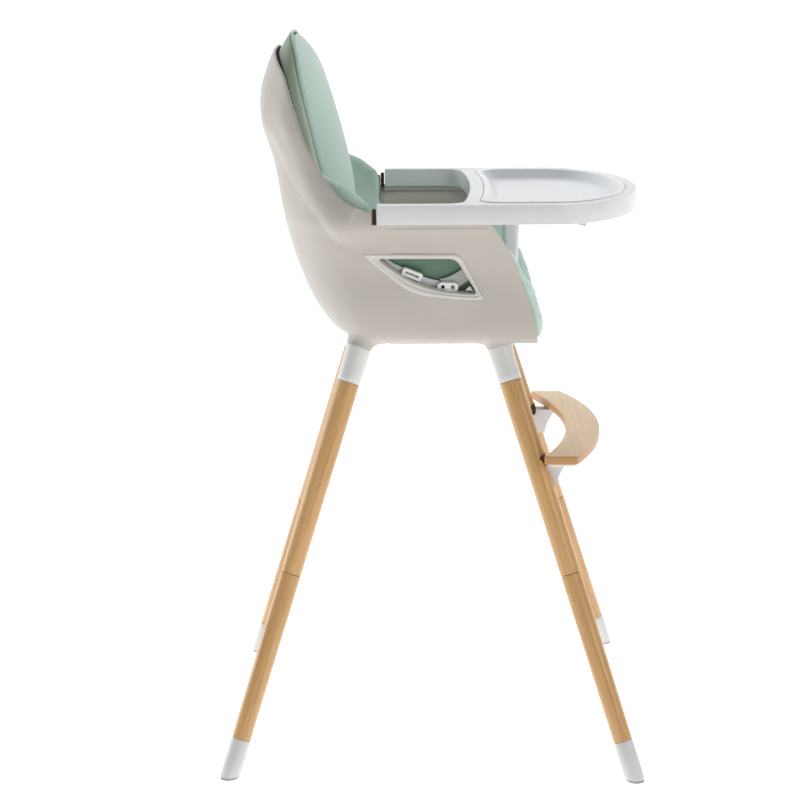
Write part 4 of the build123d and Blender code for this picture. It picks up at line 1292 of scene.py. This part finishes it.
def rounded_rectangle(cx, cz, wide, high, radius, turn=0.0, steps=6):
    points = []
    for sx, sz, start in ((1, 1, 0), (-1, 1, 90), (-1, -1, 180), (1, -1, 270)):
        for k in range(steps + 1):
            a = radians(start + 90 * k / steps)
            x = sx * (wide / 2 - radius) + radius * cos(a)
            z = sz * (high / 2 - radius) + radius * sin(a)
            points.append((cx + x * cos(turn) + z * sin(turn), cz - x * sin(turn) + z * cos(turn)))
    return points


def add_side_straps(name, side, mats):
    """Webbing, slide bar and clips in front of one side opening."""
    def place(x, z, off):
        return lean(x, z, off, side)

    def over(x, z, off):
        return lean(x, z, off + 3.4, side)

    strap = ribbon(f"waist_strap_{name}_form",
                   ((-70.0, 668.0), (-58.0, 655.0), (-40.0, 644.5), (-14.0, 634.0), (16.0, 626.0)),
                   ((-58.0, 676.0), (-48.0, 666.0), (-32.0, 657.0), (-8.0, 645.0), (18.0, 637.0)), 1.6, place)
    add_object(f"waist_strap_{name}_form", strap, mats["white_webbing"],
               replaces=[f"waist_strap_{name}"])
    upper = ribbon(f"waist_strap_upper_{name}",
                   ((27.0, 627.0), (38.0, 629.0), (50.0, 638.0), (66.0, 650.0)),
                   ((14.0, 641.0), (25.0, 644.0), (38.0, 651.5), (54.0, 664.0)), 1.6, place)
    add_object(f"waist_strap_upper_{name}", upper, mats["webbing"])

    turn = radians(24.0)
    outer = rounded_rectangle(-21.0, 649.5, 27.0, 11.0, 2.4, turn)
    holes = [rounded_rectangle(-21.0, 649.5, 19.0, 3.2, 1.4, turn, 4)]
    slider = frame_plate(f"strap_slider_{name}_form", outer, holes, 4.0, over, 0.9)
    add_object(f"strap_slider_{name}_form", slider, mats["harness"],
               replaces=[f"strap_slider_{name}"])

    outer = rounded_rectangle(24.5, 631.5, 27.0, 13.0, 6.2, radians(3.0), 8)
    holes = [rounded_rectangle(24.5 + d, 631.5, 4.6, 6.4, 2.0, 0.0, 5) for d in (-6.4, 6.4)]
    clip = frame_plate(f"waist_clip_{name}_form", outer, holes, 5.0, over, 1.2)
    add_object(f"waist_clip_{name}_form", clip, mats["harness"],
               replaces=[f"waist_clip_{name}"])
    corners = ((47.0, 625.0), (52.5, 632.0), (57.5, 624.0), (52.0, 626.4))
    hook = resample(smooth_path(corners, 8, True), 36, True)
    catch = frame_plate(f"clip_hook_{name}", [tuple(p) for p in hook], [], 3.4, over, 0.7)
    add_object(f"clip_hook_{name}", catch, mats["harness"])


def add_harness(mats):
    for name, side in SIDES.items():
        add_side_straps(name, side, mats)

    def upright(x, z, off):
        return ((40.8 + off) * MM, x * MM, z * MM)
    crotch = ribbon("crotch_strap_form", ((-12.5, 552.0), (-12.5, 575.0), (-12.5, 601.0)),
                    ((12.5, 552.0), (12.5, 575.0), (12.5, 601.0)), 1.6, upright)
    add_object("crotch_strap_form", crotch, mats["webbing"], replaces=["crotch_strap"])
    finish_node("buckle_body", mats["harness"], "chair", 0.0022, 4)
    finish_node("buckle_button", mats["grey"], "buckle_button", 0.0012, 3)


# ------------------------------------------------------------------ tray and footrest
def add_tray(mats):
    finish_node("tray_body", mats["tray"], "tray", 0.0013, 3)
    finish_node("tray_insert", mats["insert"], "tray_insert", 0.0016, 4, 25.0)
    finish_node("crotch_post", mats["tray"], "tray", 0.002, 3)
    for name in SIDES:
        finish_node(f"latch_lever_{name}", mats["grey"], f"latch_lever_{name}", 0.0006, 2)
        finish_node(f"tray_rail_{name}", mats["shell"], "chair", 0.0005, 2)


def add_footrest(mats):
    finish_node("footrest_board", mats["ply"], "chair", 0.0008, 3, 25.0)
    finish_node("footrest_plate", mats["white"], "chair", 0.001, 3)
    for name in SIDES:
        finish_node(f"footrest_bracket_{name}", mats["grey"], "chair", 0.0012, 3)


def paint_nodes(mats):
    """Finishes for the CAD nodes that stay."""
    steel = ("leg_top_studs", "leg_joint_studs", "socket_screws", "rail_screws", "post_screws",
             "latch_pins", "bracket_screws")
    for node in steel:
        NODES[node].data.materials.clear()
        NODES[node].data.materials.append(mats["steel"])
    # Footrest pads and tray stops take the dark brown: real rubber parts, their colour painted shade for the
    # shadowed gaps at the legs and rail ends.
    for node, finish in (("foot_pads", "rubber"), ("footrest_pads", "gap_shade_dark"), ("tray_stops", "gap_shade_dark")):
        NODES[node].data.materials.clear()
        NODES[node].data.materials.append(mats[finish])


# ------------------------------------------------------------------ studio
def add_stage():
    """Pale floor that curves up behind into a backdrop."""
    rows = [(-9.0, 0.0), (2.2, 0.0)]
    for k in range(1, 17):
        a = pi / 2 * k / 16
        rows.append((2.2 + 1.6 * sin(a), 1.6 - 1.6 * cos(a)))
    rows.append((3.8, 7.0))
    verts, faces = [], []
    for y, z in rows:
        verts += [(-9.0, y, z - 0.0002), (9.0, y, z - 0.0002)]
    for k in range(len(rows) - 1):
        faces.append((2 * k, 2 * k + 1, 2 * k + 3, 2 * k + 2))
    floor = new_object("studio_floor", mesh_from("studio_floor", verts, faces))
    s = Surface("studio_white", 0.9, 0.1)
    s.colour(s.mix(s.noise(0.6, 2.0), srgb(250, 250, 250), srgb(248, 248, 248)))
    s.shader.inputs["Emission Color"].default_value = (1, 1, 1, 1)
    s.shader.inputs["Emission Strength"].default_value = 0.72
    floor.data.materials.append(s.material)


def add_light(name, place, aim, size, power, colour=(1, 1, 1)):
    data = bpy.data.lights.new(name, "AREA")
    data.shape = "RECTANGLE"
    data.size, data.size_y = size
    data.energy = power
    data.color = colour
    light = bpy.data.objects.new(name, data)
    light.location = place
    light.rotation_euler = (Vector(aim) - Vector(place)).to_track_quat("-Z", "Y").to_euler()
    bpy.context.scene.collection.objects.link(light)


def add_studio():
    scene = bpy.context.scene
    scene.view_settings.view_transform = "Standard"
    scene.view_settings.look = "None"
    world = bpy.data.worlds.new("studio")
    scene.world = world
    world.use_nodes = True
    world.node_tree.nodes["Background"].inputs["Color"].default_value = (1.0, 1.0, 1.0, 1.0)
    world.node_tree.nodes["Background"].inputs["Strength"].default_value = 0.18
    add_light("overhead", (0.1, -0.2, 3.4), (0, 0, 0.5), (2.6, 2.2), 18)
    add_light("rear_left_strip", (-2.6, 0.7, 1.3), (0, 0, 0.6), (0.7, 2.4), 26)
    add_light("front_right_box", (2.4, -2.3, 1.6), (0, 0, 0.6), (1.6, 2.2), 22)
    add_stage()


def main():
    add_camera()
    add_studio()
    mats = make_materials()
    paint_nodes(mats)
    outer_tree, rim = add_shell(mats)
    add_legs(mats)
    add_cushions(outer_tree, rim, mats)
    add_harness(mats)
    add_tray(mats)
    add_footrest(mats)


main()
